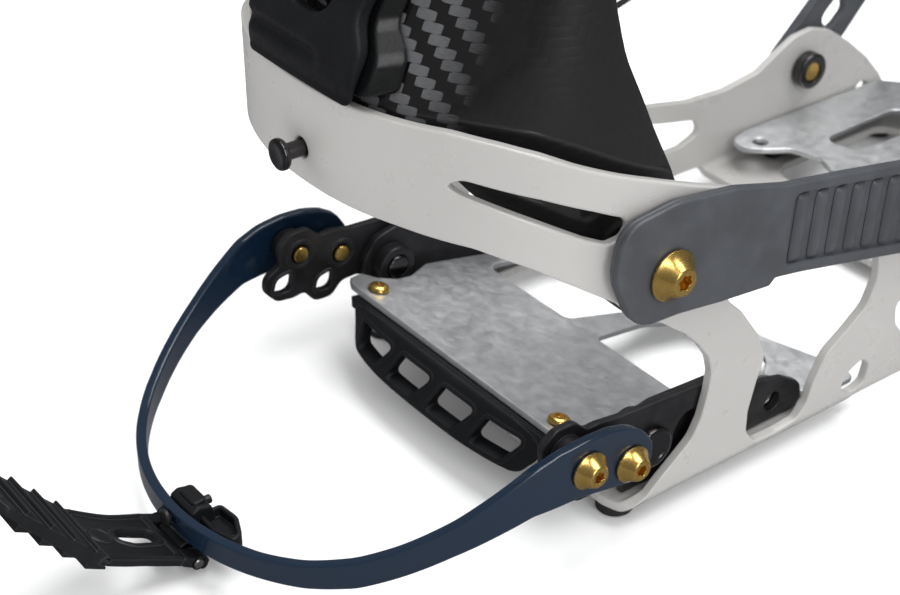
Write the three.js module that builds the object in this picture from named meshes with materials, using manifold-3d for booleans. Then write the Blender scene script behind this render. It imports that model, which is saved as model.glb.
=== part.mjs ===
// Splitboard binding: right-hand side towards +X, toe towards +Y, +Z up, in millimetres.
// The pieces are drawn with X = 0 on the frame's centreline and Z = 0 on the underside
// of its bottom. SHIFT moves them at the end, so that the foot pads stand on Z = 0.
import * as THREE from 'three';
import { mergeVertices } from 'three/addons/utils/BufferGeometryUtils.js';
import Module from 'manifold-3d';

// ---------- driving dimensions ----------
const WALL_OUT = 52.4;               // centreline to the outer face of the frame walls
const WALL_T = 2.3;                  // frame sheet thickness
const WALL_IN = WALL_OUT - WALL_T;
const BASE_REAR = -91.3;             // ends of the frame, Y
const BASE_FRONT = 108;
// places along Y and Z
const ANKLE_BOLT = [-87.2, 63.4];    // highback and ankle strap pivot
const TOE_BOLT = [69.5, 22.9];
const LEVER_PIVOT = [-81.2, 14.9];
const BAIL_REAR_BOLT = [-105.0, 23.8];
const BAIL_FRONT_BOLT = [-93.4, 20.1];
const LINK_RIVET = [-41.2, 7.6];
const LATCH_HINGE = [-168.4, -0.4];
// hole radii
const ANKLE_HOLE_R = 3.4;
const PIVOT_HOLE_R = 3.3;
const BAIL_HOLE_R = 2.35;
const LATCH_HOLE_R = 1.4;
const FOOT_BOTTOM = -3.8;
const SHIFT = [13.27, 28.752, -FOOT_BOTTOM];

const wasm = await Module();
wasm.setup();

// ---------- outlines ----------
const toVector = ([x, y]) => new THREE.Vector2(x, y);
const polygon = (points) => points.map(toVector);
const mirrored = (points) => points.map(([x, ...rest]) => [-x, ...rest]).reverse();
const withMirror = (half) => [...half, ...mirrored(half)];

// closed outline with rounded corners; a point's third number is its own radius
function outline(points, radius = 0, segments = 3) {
  const count = points.length;
  const rounded = [];
  points.forEach((point, i) => {
    const [, , ownRadius = radius] = point;
    const corner = toVector(point);
    const toPrevious = toVector(points[(i + count - 1) % count]).sub(corner);
    const toNext = toVector(points[(i + 1) % count]).sub(corner);
    const previousLength = toPrevious.length();
    const nextLength = toNext.length();
    toPrevious.normalize();
    toNext.normalize();
    const angle = Math.acos(Math.min(1, Math.max(-1, toPrevious.dot(toNext))));
    const nearlyStraight = angle > 3.08;
    if (ownRadius <= 0 || nearlyStraight) {
      rounded.push(corner);
      return;
    }
    const reach = Math.min(
      ownRadius / Math.tan(angle / 2), previousLength * 0.49, nextLength * 0.49);
    const start = corner.clone().addScaledVector(toPrevious, reach);
    const end = corner.clone().addScaledVector(toNext, reach);
    for (let k = 0; k <= segments; k++) {
      const t = k / segments;
      rounded.push(start.clone().multiplyScalar((1 - t) * (1 - t))
        .addScaledVector(corner, 2 * t * (1 - t)).addScaledVector(end, t * t));
    }
  });
  // keep neighbouring points apart
  return rounded.filter((p, i) => p.distanceTo(rounded[(i + 1) % rounded.length]) > 0.05);
}

function circle([x, y], radius, segments) {
  return Array.from({ length: segments }, (_, i) => {
    const angle = (2 * Math.PI * i) / segments;
    return new THREE.Vector2(x + radius * Math.cos(angle), y + radius * Math.sin(angle));
  });
}

// ---------- solids ----------
const X = new THREE.Vector3(1, 0, 0);
const Y = new THREE.Vector3(0, 1, 0);
const Z = new THREE.Vector3(0, 0, 1);

// maker of flat plates: shape in the plane (u, v), thickness along the normal
function plateMaker(u, v, normal) {
  const basis = new THREE.Matrix4().makeBasis(u, v, normal);
  return function plate(shape, from, to, holes = []) {
    if (holes.length) {
      return cut(plate(shape, from, to), ...holes.map((hole) => plate(hole, from - 1, to + 1)));
    }
    const options = { depth: to - from, bevelEnabled: false, steps: 1 };
    const geometry = new THREE.ExtrudeGeometry(new THREE.Shape(shape), options);
    geometry.applyMatrix4(basis);
    return geometry.translate(normal.x * from, normal.y * from, normal.z * from);
  };
}
const plateYZ = plateMaker(Y, Z, X);
const plateXY = plateMaker(X, Y, Z);
const plateZX = plateMaker(Z, X, Y);

// rods along one axis; the centre is given as [y, z], [x, z] and [x, y]
const rodX = (from, to, centre, radius, segments = 16) =>
  plateYZ(circle(centre, radius, segments), from, to);
const rodY = (from, to, [x, z], radius, segments = 14) =>
  plateZX(circle([z, x], radius, segments), from, to);
const rodZ = (from, to, centre, radius, segments = 14) =>
  plateXY(circle(centre, radius, segments), from, to);

// turned pieces from a profile of [place along the axis, radius]
const lathe = (profile, segments) =>
  new THREE.LatheGeometry(profile.map(([along, r]) => new THREE.Vector2(r, along)), segments);

function turnedX(profile, [y, z], segments) {
  const basis = new THREE.Matrix4().makeBasis(Y, X, new THREE.Vector3(0, 0, -1));
  return lathe(profile, segments).applyMatrix4(basis).translate(0, y, z);
}
const turnedY = (profile, [x, z], segments) => lathe(profile, segments).translate(x, 0, z);
const turnedZ = (profile, [x, y], segments) =>
  lathe(profile, segments).rotateX(Math.PI / 2).translate(x, y, 0);

// cap indices for both ends of a loft; `last` is the first index of the last ring
function fanCaps(count, last) {
  const indices = [];
  for (let j = 1; j < count - 1; j++) indices.push(0, j + 1, j);
  for (let j = 1; j < count - 1; j++) indices.push(last, last + j, last + j + 1);
  return indices;
}
// for long thin rings, whose second half runs back beside the first
function stripCaps(count, last) {
  const indices = [];
  for (let a = 0; a < count / 2 - 1; a++) {
    const b = a + 1;
    const c = count - 1 - a;
    const d = count - 2 - a;
    indices.push(a, d, b, a, c, d);
    indices.push(last + a, last + b, last + d, last + a, last + d, last + c);
  }
  return indices;
}
// closed loft through rings of equal point count
function loft(rings, caps = fanCaps) {
  const count = rings[0].length;
  const indices = [];
  for (let i = 0; i < rings.length - 1; i++) {
    for (let j = 0; j < count; j++) {
      const a = i * count + j;
      const b = i * count + ((j + 1) % count);
      indices.push(a, b, b + count, a, b + count, a + count);
    }
  }
  indices.push(...caps(count, (rings.length - 1) * count));
  const geometry = new THREE.BufferGeometry();
  geometry.setAttribute('position', new THREE.Float32BufferAttribute(rings.flat(2), 3));
  geometry.setIndex(indices);
  return geometry;
}

function toSolid(source) {
  const bare = source.clone();
  bare.deleteAttribute('normal');
  bare.deleteAttribute('uv');
  const merged = mergeVertices(bare, 1e-4);
  const p = merged.attributes.position.array;
  const index = merged.index.array;
  // leave out triangles that collapsed on the axis, and sum the signed volume
  const triangles = [];
  let volume = 0;
  for (let i = 0; i < index.length; i += 3) {
    const [i0, i1, i2] = [index[i], index[i + 1], index[i + 2]];
    if (i0 === i1 || i1 === i2 || i0 === i2) continue;
    triangles.push(i0, i1, i2);
    const [a, b, c] = [i0 * 3, i1 * 3, i2 * 3];
    volume += (p[a] * (p[b + 1] * p[c + 2] - p[b + 2] * p[c + 1])
      - p[a + 1] * (p[b] * p[c + 2] - p[b + 2] * p[c])
      + p[a + 2] * (p[b] * p[c + 1] - p[b + 1] * p[c])) / 6;
  }
  // faces must look outwards
  if (volume < 0) {
    for (let i = 0; i < triangles.length; i += 3) {
      [triangles[i + 1], triangles[i + 2]] = [triangles[i + 2], triangles[i + 1]];
    }
  }
  return new wasm.Manifold(new wasm.Mesh({
    numProp: 3,
    vertProperties: new Float32Array(p),
    triVerts: new Uint32Array(triangles),
  }));
}
function fromSolid(solid) {
  const mesh = solid.getMesh();
  const geometry = new THREE.BufferGeometry();
  geometry.setAttribute('position', new THREE.Float32BufferAttribute(mesh.vertProperties, 3));
  geometry.setIndex(Array.from(mesh.triVerts));
  return geometry;
}
const cut = (body, ...tools) =>
  fromSolid(tools.reduce((solid, tool) => solid.subtract(toSolid(tool)), toSolid(body)));
const join = (body, ...others) =>
  fromSolid(others.reduce((solid, other) => solid.add(toSolid(other)), toSolid(body)));
const common = (a, b) => fromSolid(toSolid(a).intersect(toSolid(b)));
const mirrorX = (geometry) => fromSolid(toSolid(geometry.clone().scale(-1, 1, 1)));

// the same piece on the right and on the left, made from its X range
const bothSides = (inner, outer, make) => [make(inner, outer), make(-outer, -inner)];
// returns a function that swings a piece about the X axis, then moves it to [y, z]
const swung = (degrees, [y, z]) => (geometry) =>
  geometry.rotateX((degrees * Math.PI) / 180).translate(0, y, z);

// ---------- curves and bands ----------
// value at x from a table of [x, value], held constant past the ends
function interpolate(table, x) {
  if (x <= table[0][0]) return table[0][1];
  for (let i = 1; i < table.length; i++) {
    if (x > table[i][0]) continue;
    const [x0, value0] = table[i - 1];
    const [x1, value1] = table[i];
    return value0 + ((value1 - value0) * (x - x0)) / (x1 - x0);
  }
  return table[table.length - 1][1];
}

// running length at each point of a path
function pathLengths(points) {
  const lengths = [0];
  for (let i = 1; i < points.length; i++) {
    const [x0, y0] = points[i - 1];
    const [x1, y1] = points[i];
    lengths.push(lengths[i - 1] + Math.hypot(x1 - x0, y1 - y0));
  }
  return lengths;
}
function pointAlong(points, lengths, distance) {
  let i = 1;
  while (i < lengths.length - 1 && lengths[i] < distance) i++;
  const t = (distance - lengths[i - 1]) / (lengths[i] - lengths[i - 1]);
  const [x0, y0] = points[i - 1];
  const [x1, y1] = points[i];
  return [x0 + (x1 - x0) * t, y0 + (y1 - y0) * t];
}
function respace(points, count) {
  const lengths = pathLengths(points);
  const total = lengths[lengths.length - 1];
  return Array.from({ length: count + 1 }, (_, k) =>
    pointAlong(points, lengths, (total * k) / count));
}

// right half of a bow as [x, y]: straight from frontY to bendY, then a superellipse
// to the rear centre
function planCurve({ halfWidth, depth, exponent, bendY, frontY, arcSteps, straightSteps }) {
  const points = [];
  for (let i = 0; i < straightSteps; i++) {
    points.push([halfWidth, frontY + ((bendY - frontY) * i) / straightSteps]);
  }
  for (let i = 0; i <= arcSteps; i++) {
    const angle = (Math.PI / 2) * (i / arcSteps);
    const x = i === arcSteps ? 0 : halfWidth * Math.pow(Math.cos(angle), 2 / exponent);
    points.push([x, bendY - depth * Math.pow(Math.sin(angle), 2 / exponent)]);
  }
  return points;
}

// upright band bent along a plan curve; the edge tables are [y, z]
function band(half, thickness, lowEdge, topEdge, chamfer) {
  const insideY = -60;   // the band's inner face looks towards this place on the centreline
  const path = [...half, ...mirrored(half.slice(0, -1))];
  const rings = path.map(([x, y], i) => {
    const before = path[Math.max(0, i - 1)];
    const after = path[Math.min(path.length - 1, i + 1)];
    const dx = after[0] - before[0];
    const dy = after[1] - before[1];
    const length = Math.hypot(dx, dy);
    const sign = dy * x - dx * (y - insideY) > 0 ? -1 : 1;
    const inX = (dy / length) * sign;
    const inY = (-dx / length) * sign;
    const low = interpolate(lowEdge, y);
    const top = interpolate(topEdge, y);
    const at = (inwards, z) => [x + inX * inwards, y + inY * inwards, z];
    return [
      at(0, low + chamfer), at(chamfer, low),
      at(thickness - chamfer, low), at(thickness, low + chamfer),
      at(thickness, top - chamfer), at(thickness - chamfer, top),
      at(chamfer, top), at(0, top - chamfer),
    ];
  });
  return loft(rings);
}

// ---------- materials and meshes ----------
const FINISH = {
  greyPaint: { color: 0xc4c3bf, roughness: 0.28, metalness: 0.1 },
  navyPaint: { color: 0x22374f, roughness: 0.25, metalness: 0.2 },
  blackAnodised: { color: 0x17181a, roughness: 0.45, metalness: 0.6 },
  gold: { color: 0xc9982f, roughness: 0.25, metalness: 1.0 },
  brightMetal: { color: 0x9aa0a4, roughness: 0.4, metalness: 1.0 },
  steel: { color: 0x77787a, roughness: 0.35, metalness: 1.0 },
  blackPlastic: { color: 0x232527, roughness: 0.6, metalness: 0.0 },
  strapPlastic: { color: 0x35373a, roughness: 0.5, metalness: 0.0 },
  rubber: { color: 0x151515, roughness: 0.9, metalness: 0.0 },
  carbon: { color: 0x101113, roughness: 0.12, metalness: 0.2 },
  padding: { color: 0x26282b, roughness: 0.95, metalness: 0.0 },
  gunmetal: { color: 0x3a3a3d, roughness: 0.4, metalness: 0.9 },
};
const group = new THREE.Group();

function add(name, geometry, finish) {
  const mesh = new THREE.Mesh(geometry, new THREE.MeshStandardMaterial(finish));
  mesh.name = name;
  group.add(mesh);
}
function addPair(name, geometry, finish) {
  add(`${name}_right`, geometry, finish);
  add(`${name}_left`, mirrorX(geometry), finish);
}

// ---------- base frame: one folded sheet, two walls and a bottom ----------
// side outline, [y, z, radius]
const FRAME_SIDE = [
  [BASE_REAR, -1, 0], [-90.4, 0.2, 0], [-88.1, 1.2], [-83.7, 3.7], [-79.7, 7.1], [-75.6, 10.1],
  [-71.2, 13.6], [-69.0, 18], [-67.6, 24], [-67.1, 28.6], [-68.2, 33], [-71.3, 37.3],
  [-75.8, 42], [-84, 48.4], [-91, 52.2], [-96, 57.5], [-97.2, 64], [-94, 70.5], [-88, 72.8],
  [-79, 71.6], [-68, 67.6], [-55, 63.4], [-40, 59.4], [-25, 56.2], [-14, 52.4], [-7.2, 45],
  [-4.6, 37], [-2.5, 31.4], [4, 29.0], [12, 27.6], [23.8, 25.2], [38, 24.6], [50.8, 26.4],
  [58.3, 30.6], [64.5, 33.6], [72, 34.4], [79, 32.2], [88, 26.2], [97.1, 18.8], [104, 11.5],
  [BASE_FRONT, 5.5, 2], [BASE_FRONT, -1, 0],
];
// openings in the walls, [y, z, radius]
const FRAME_ARCH = [
  [-65.2, 46.7], [-59.7, 41.4], [-53.8, 33.3], [-50.8, 27.0], [-52.7, 21], [-54.5, 13.5],
  [-54.4, 8.0, 3], [-51.5, 3.9, 3], [-44.2, 3.3, 3], [-38.2, 4.2, 3], [-35.3, 7.4, 4],
  [-34.0, 12.0], [-30.6, 18.9], [-24.7, 22.7], [-19.0, 27.0], [-16.4, 33.5], [-17.0, 40.5, 4],
  [-24, 45.6], [-40, 49.6], [-56, 53.4], [-63, 52.4, 3],
];
const FRAME_WALL_WINDOW = [
  [-8.4, 24.6, 3], [-7.4, 18], [-3.5, 12.8], [6, 11.4], [22, 11.6], [29, 14.2],
  [27.4, 18.6], [14, 21.4], [0, 25.4],
];
const FRAME_BEAN = [
  [-24.3, 6.8], [-21.6, 10.5], [-17.6, 12.3], [-14.9, 9.7], [-15.9, 5.3], [-20.7, 3.3],
];
// openings in the bottom, [x, y]
const BOTTOM_REAR_WINDOW = [
  [-37, -64], [37, -64], [40, -60], [40, -28], [34, -22], [-34, -22], [-40, -28], [-40, -60],
];
const BOTTOM_FRONT_WINDOW = [
  [-34, 46], [34, 46], [38, 52], [38, 92], [24, 99], [-24, 99], [-38, 92], [-38, 52],
];

// section of the folded sheet, [z, x]
function channelSection() {
  const wallTop = 76;
  const foldOuterR = 4.2;
  const foldInnerR = foldOuterR - WALL_T;
  const foldX = WALL_OUT - foldOuterR;
  const fold = (x, radius, from, to) => [0, 1, 2, 3].map((k) => {
    const angle = from + ((to - from) * k) / 3;
    return [foldOuterR + radius * Math.sin(angle), x + radius * Math.cos(angle)];
  });
  return polygon([
    [wallTop, WALL_OUT],
    ...fold(foldX, foldOuterR, 0, -Math.PI / 2),
    ...fold(-foldX, foldOuterR, -Math.PI / 2, -Math.PI),
    [wallTop, -WALL_OUT],
    [wallTop, -WALL_IN],
    ...fold(-foldX, foldInnerR, -Math.PI, -Math.PI / 2),
    ...fold(foldX, foldInnerR, -Math.PI / 2, 0),
    [wallTop, WALL_IN],
  ]);
}
function baseFrame() {
  const reach = 61;   // cutters run past both walls
  const channel = plateZX(channelSection(), BASE_REAR - 2, BASE_FRONT + 2);
  const sideCut = (points, radius, segments) =>
    plateYZ(outline(points, radius, segments), -reach, reach);
  const frame = cut(
    common(channel, plateYZ(outline(FRAME_SIDE, 6, 1), -60, 60)),
    sideCut(FRAME_ARCH, 6, 1),
    sideCut(FRAME_WALL_WINDOW, 4, 2),
    sideCut(FRAME_BEAN, 2, 2),
    rodX(-reach, reach, ANKLE_BOLT, ANKLE_HOLE_R),
    rodX(-reach, reach, TOE_BOLT, 3.3),
    rodX(-reach, reach, [96.5, 8.2], 2.6),
  );
  return cut(
    frame,
    plateXY(outline(BOTTOM_REAR_WINDOW, 5, 3), -2, 2.6),
    // full-width gap in the middle of the bottom, just deeper than the sheet
    plateXY(polygon([[-60, -20], [60, -20], [60, 31], [-60, 31]]), -2, 2.35),
    plateXY(outline(BOTTOM_FRONT_WINDOW, 6, 3), -2, 2.6),
  );
}
add('base_frame', baseFrame(), FINISH.greyPaint);

// ---------- heel loop: bent band with a tapered slot each side ----------
const LOOP_POST_Z = 81.1;
const LOOP_PLAN = {
  halfWidth: 55.1, depth: 46.0, exponent: 2.2, bendY: -87, frontY: -61.5,
  arcSteps: 60, straightSteps: 4,
};
const LOOP_T = 2.3;
// edges, [y, z]
const LOOP_LOW = [
  [-133.1, 73.7], [-129, 73.7], [-121, 72.3], [-113, 68.6], [-106, 64.2], [-97.5, 58.6],
  [-91, 54.2], [-86, 53.0], [-80, 53.6], [-74, 56.4], [-68, 61.5], [-61.5, 66.0],
];
const LOOP_TOP = [
  [-133.1, 95.6], [-124, 95.8], [-118, 94.4], [-112, 92.4], [-106, 89.6], [-98, 86.4],
  [-90, 83.4], [-78, 78.4], [-68, 74.6], [-61.5, 71.6],
];
// slot, [y, z]
const LOOP_SLOT = [
  [-124.3, 84.8], [-122.6, 86.6], [-112, 83.4], [-103, 79.9], [-97.2, 77.4], [-95.4, 75.2],
  [-96.8, 72.9], [-99.8, 72.2], [-104, 74.0], [-112, 78.2], [-122.8, 83.4],
];
function heelLoop() {
  const slot = outline(LOOP_SLOT, 1.6, 2);
  return cut(
    band(respace(planCurve(LOOP_PLAN), 17), LOOP_T, LOOP_LOW, LOOP_TOP, 0.35),
    ...bothSides(20, 60, (from, to) => plateYZ(slot, from, to)),
    ...bothSides(40, 60, (from, to) => rodX(from, to, ANKLE_BOLT, ANKLE_HOLE_R)),
    rodY(-140, -125, [0, LOOP_POST_Z], 2.1),
  );
}
// headed post through the rear centre of the loop, [y, radius]
const LATCH_POST = [
  [-138.9, 0], [-138.9, 3.0], [-138.5, 3.3], [-137.3, 3.15], [-137.1, 1.75], [-130.2, 1.75],
  [-130.2, 3.0], [-129.5, 3.0], [-128.9, 2.4], [-128.9, 0],
];
add('heel_loop', heelLoop(), FINISH.greyPaint);
add('latch_post', turnedY(LATCH_POST, [0, LOOP_POST_Z], 18), FINISH.gunmetal);

// ---------- bolts and sleeves ----------
// cone headed bolt, head seated at x = seat, nose outwards, socket in the nose
function coneBolt({ seat, end, headR, noseR, headLength, shankR, socketR, place, segments }) {
  const nose = seat + headLength;
  const socketFloor = nose - 2.2;
  return turnedX([
    [end, 0], [end, shankR], [seat, shankR], [seat, headR],
    [nose - 0.3, noseR + 0.1], [nose, noseR - 0.2],
    [nose, socketR], [socketFloor, socketR], [socketFloor, 0],
  ], place, segments);
}
// ring along X with a chamfer on its inner end
function sleeve({ from, to, boreR, outerR, chamfer, place, segments }) {
  return turnedX([
    [from, boreR], [from, outerR - chamfer], [from + chamfer, outerR],
    [to, outerR], [to, boreR], [from, boreR],
  ], place, segments);
}
const bailBolt = (place) => coneBolt({
  seat: 57.1, end: 47.3, headR: 4.2, noseR: 2.35, headLength: 3.4, shankR: 2.0,
  socketR: 1.3, place, segments: 14,
});
addPair('strap_bolt', coneBolt({
  seat: 58.4, end: 44.3, headR: 5.5, noseR: 2.9, headLength: 3.9, shankR: 2.95,
  socketR: 1.7, place: ANKLE_BOLT, segments: 14,
}), FINISH.gold);
addPair('strap_nut', sleeve({
  from: 43.9, to: 46.0, boreR: 3.25, outerR: 6.0, chamfer: 0.4, place: ANKLE_BOLT, segments: 16,
}), FINISH.blackAnodised);
add('bail_bolt_rear_right', bailBolt(BAIL_REAR_BOLT), FINISH.gold);
add('bail_bolt_front_right', bailBolt(BAIL_FRONT_BOLT), FINISH.gold);
add('bail_bolt_rear_left', mirrorX(bailBolt(BAIL_REAR_BOLT)), FINISH.gold);
add('bail_bolt_front_left', mirrorX(bailBolt(BAIL_FRONT_BOLT)), FINISH.gold);

// ---------- lever bail: tall thin band in a wide bow, ending in bolt lugs ----------
const LATCH_SCREW_Z = 6.7;
const BAIL_PLAN = {
  halfWidth: 57.0, depth: 64.5, exponent: 2.05, bendY: BAIL_REAR_BOLT[0], frontY: -87.4,
  arcSteps: 80, straightSteps: 10,
};
const BAIL_T = 2.3;
// edges, [y, z]
const BAIL_TOP = [
  [-169.6, 8.9], [-163.5, 9.1], [-158, 9.9], [-150.5, 12.1], [-143, 15.3], [-133.5, 19.9],
  [-127, 23.6], [-118, 28.6], [-112, 30.3], [-105, 31.0], [-99, 30.6], [-94, 29.2],
  [-90, 26.8], [-88, 23.8], [-87.4, 22.2],
];
const BAIL_LOW = [
  [-169.6, 3.3], [-158, 3.9], [-150.5, 5.4], [-143, 8.4], [-134.5, 11.9], [-125, 15.1],
  [-118, 17.2], [-107, 17.4], [-99, 15.9], [-94, 15.0], [-90, 15.8], [-88, 18.2], [-87.4, 19.8],
];
function leverBail() {
  let bail = band(respace(planCurve(BAIL_PLAN), 23), BAIL_T, BAIL_LOW, BAIL_TOP, 0.45);
  for (const [from, to] of [[50, 60], [-60, -50]]) {
    for (const bolt of [BAIL_REAR_BOLT, BAIL_FRONT_BOLT]) {
      bail = cut(bail, rodX(from, to, bolt, BAIL_HOLE_R));
    }
  }
  return cut(bail, rodY(-180, -162, [0, LATCH_SCREW_Z], 1.4, 12));
}
add('lever_bail', leverBail(), FINISH.navyPaint);

// lobed side plate of the lever, [y, z, radius]
const LEVER_PLATE = [
  [-112.2, 13.0], [-115.4, 16.6], [-115.0, 20.4], [-110.6, 22.6, 2], [-111.2, 27],
  [-107.6, 30.0], [-102.4, 30.0], [-99.2, 26.9, 2], [-96, 26.9], [-90, 26.0, 2],
  [-62.3, 24.2, 1], [-62.0, 18.8, 1], [-72.0, 18.9, 3], [-74.2, 15.5], [-74.6, 11],
  [-78.6, 8.0], [-83.6, 8.0], [-88.6, 12.4, 3], [-93.6, 12.2, 3], [-96.6, 9.0],
  [-101.4, 9.2], [-104.4, 12.9, 2], [-107.6, 12.4],
];
function leverPlate() {
  const teardrop = (y, z, r) => outline([
    [y - r, z - r * 0.6], [y - r * 0.6, z + r * 0.7], [y + r, z + r], [y + r * 0.7, z - r * 0.8],
  ], r * 0.8, 2);
  const boltHole = (bolt) => circle(bolt, BAIL_HOLE_R, 12);
  // reaches out to the bail lug
  const standoff = (bolt) => plateYZ(circle(bolt, 4.2, 14), 49.5, 54.4, [boltHole(bolt)]);
  const plate = plateYZ(outline(LEVER_PLATE, 3.2, 2), 47.9, 49.8, [
    circle(LEVER_PIVOT, PIVOT_HOLE_R, 14),
    boltHole(BAIL_REAR_BOLT),
    boltHole(BAIL_FRONT_BOLT),
    teardrop(-110.3, 17.2, 3.0),
    teardrop(-98.7, 13.8, 2.9),
  ]);
  return join(plate, standoff(BAIL_REAR_BOLT), standoff(BAIL_FRONT_BOLT));
}
addPair('lever_plate', leverPlate(), FINISH.blackAnodised);

// lever pivot pin, [x, radius], in a bush
const PIVOT_PIN = [
  [40.8, 0], [40.8, 2.7], [41.1, 3.0], [50.1, 3.0], [50.1, 4.8], [51.3, 4.8], [51.7, 4.3],
  [51.7, 0],
];
addPair('pivot_pin', turnedX(PIVOT_PIN, LEVER_PIVOT, 16), FINISH.steel);
addPair('pivot_bush', sleeve({
  from: 41.4, to: 45.0, boreR: 3.3, outerR: 5.2, chamfer: 0.5, place: LEVER_PIVOT, segments: 16,
}), FINISH.blackAnodised);

// fixed side rail inside each wall, [y, z, radius]
const SIDE_RAIL = [
  [-88.2, 11], [-88.6, 17], [-85, 22.2], [-79, 23.6], [-62, 22.6], [-52, 19.0], [-46, 14.8],
  [-38, 12.8], [-32.4, 9.4], [-31.6, 5, 2], [-33, 2.7, 0], [-86, 2.7, 0],
];
function sideRail() {
  const rail = plateYZ(outline(SIDE_RAIL, 4, 3), 45.3, 47.4, [
    circle(LEVER_PIVOT, PIVOT_HOLE_R, 20),
    circle(LINK_RIVET, 2.4, 16),
  ]);
  const flange = polygon([[-76, 2.7], [-50, 2.7], [-50, 4.4], [-76, 4.4]]);
  return join(rail, plateYZ(flange, 41.6, 45.6));
}
addPair('side_rail', sideRail(), FINISH.blackAnodised);

// lug on the inner side of the rail, [y, z, radius]
const LINK_LUG = [
  [-47.6, 2.8, 0.5], [-46.6, 9.4], [-42.4, 13.0], [-37.6, 11.0], [-36.4, 6.8], [-37.4, 2.8, 0.5],
];
addPair('link_lug',
  plateYZ(outline(LINK_LUG, 3, 3), 42.9, 45.0, [circle(LINK_RIVET, 2.0, 16)]),
  FINISH.brightMetal);

// ---------- latch on the rear centre of the bail ----------
// hinge block on the inner face of the bail; its knuckle hangs below, [y, z, radius]
const LATCH_BLOCK = [
  [-166.7, 3.1, 0.5], [-166.7, 8.5, 1], [-164.9, 9.4, 1], [-161.6, 8.6, 1.5], [-160.8, 3.1, 1],
  [-164.0, -1.9, 2], [-168.0, -2.9, 1.5], [-170.6, -1.1, 1.5], [-170.2, 1.5, 1],
  [-167.4, 2.7, 0.4],
];
// low curved guard to the right of the block, [x, y, radius]
const LATCH_GUARD = [
  [3.0, -164.9, 0.3], [3.0, -158.9, 1.5], [9.0, -158.2, 3], [14.4, -160.6, 3],
  [15.2, -163.2, 1], [9.6, -164.9, 2],
];
function latchBlock() {
  const block = join(
    plateYZ(outline(LATCH_BLOCK, 1, 2), -4.6, 4.6),
    plateXY(outline(LATCH_GUARD, 1, 3), 3.2, 7.0),
  );
  return cut(block,
    rodY(-172, -157, [0, LATCH_SCREW_Z], 1.35, 12),
    rodX(-6, 6, LATCH_HINGE, LATCH_HOLE_R, 14));
}
// [y, radius]
const LATCH_SCREW = [
  [-171.1, 0], [-171.1, 1.5], [-170.8, 2.0], [-169.9, 2.0], [-169.9, 1.0], [-159.6, 1.0],
  [-159.6, 0],
];

// strap: two knuckles, arm with a slot, wide thumb pad with ribs
function latchStrap() {
  const [hingeY, hingeZ] = LATCH_HINGE;
  const rise = Math.atan(0.56);                // slope of the arm
  const padTurn = (21 * Math.PI) / 180;        // further turn of the pad, upwards
  const padStart = 25;
  // [y, z] at a distance along the arm from the hinge, and square to it
  const onArm = (along, above) => [
    hingeY - along * Math.cos(rise) + above * Math.sin(rise),
    hingeZ + along * Math.sin(rise) + above * Math.cos(rise),
  ];
  const onPad = (along, above) => onArm(
    padStart + along * Math.cos(padTurn) - above * Math.sin(padTurn),
    along * Math.sin(padTurn) + above * Math.cos(padTurn),
  );
  const arm = [onArm(3.4, -1.1), onArm(25.5, -1.1), onArm(25.5, 1.1), onArm(3.4, 1.1)];
  let strap = plateYZ(polygon(arm), -9, 9);

  const knuckle = outline(
    [onArm(-2.6, -1.6), onArm(-2.6, 1.6), onArm(4.2, 1.1), onArm(4.2, -1.1)], 0.8, 2);
  for (const side of bothSides(5.2, 9.2, (from, to) => plateYZ(knuckle, from, to))) {
    strap = join(strap, side);
  }
  strap = cut(strap, rodX(-10, 10, LATCH_HINGE, LATCH_HOLE_R, 14));

  // slot, [x, along the arm]
  const slot = plateXY(outline([
    [-2.2, 6.2], [2.2, 6.2], [2.6, 12.5], [1.6, 15.0], [-1.6, 15.0], [-2.6, 12.5],
  ], 1.5, 2), -4, 4);
  slot.applyMatrix4(new THREE.Matrix4().makeBasis(
    X,
    new THREE.Vector3(0, -Math.cos(rise), Math.sin(rise)),
    new THREE.Vector3(0, Math.sin(rise), Math.cos(rise)),
  ));
  slot.translate(0, hingeY, hingeZ);
  strap = cut(strap, slot);

  const pad = [
    onPad(-1.6, -2.0), onPad(26.6, -1.1), onPad(28.2, 0.2), onPad(26.8, 1.4), onPad(-1.6, 1.5),
  ];
  strap = join(strap, plateYZ(outline(pad, 0.6, 2), -9.6, 9.6));
  // stepped ribs across both faces: [place of the step, half width]
  for (const [step, half] of [[1.6, 9.4], [8.2, 9.4], [14.8, 9.4], [21.2, 8.6]]) {
    const upper = [onPad(step - 4.6, 0.6), onPad(step, 0.6), onPad(step, 2.3)];
    const lower = [onPad(step - 4.6, -0.4), onPad(step, -2.9), onPad(step, -0.4)];
    strap = join(strap, plateYZ(polygon(upper), -half, half));
    strap = join(strap, plateYZ(polygon(lower), -half, half));
  }
  return strap;
}
add('latch_block', latchBlock(), FINISH.blackAnodised);
add('latch_screw', turnedY(LATCH_SCREW, [0, LATCH_SCREW_Z], 12), FINISH.blackAnodised);
add('latch_pin', rodX(-9.6, 9.6, LATCH_HINGE, 1.1, 12), FINISH.steel);
add('latch_strap', latchStrap(), FINISH.blackPlastic);

// ---------- heel plate: thin ramp with two windows ----------
const RAMP_SLOPE = 0.207;
const RAMP_REAR = -97.3;
const PLATE_SCREW_X = 33.4;
const PLATE_SCREW_Y = -92.6;
// side section, [y, z]
const HEEL_PLATE_SIDE = [
  [RAMP_REAR, 17.3], [-34, 4.2], [-12, 4.2], [-12, 2.65], [-34.2, 2.65], [RAMP_REAR, 15.7],
];
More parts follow.
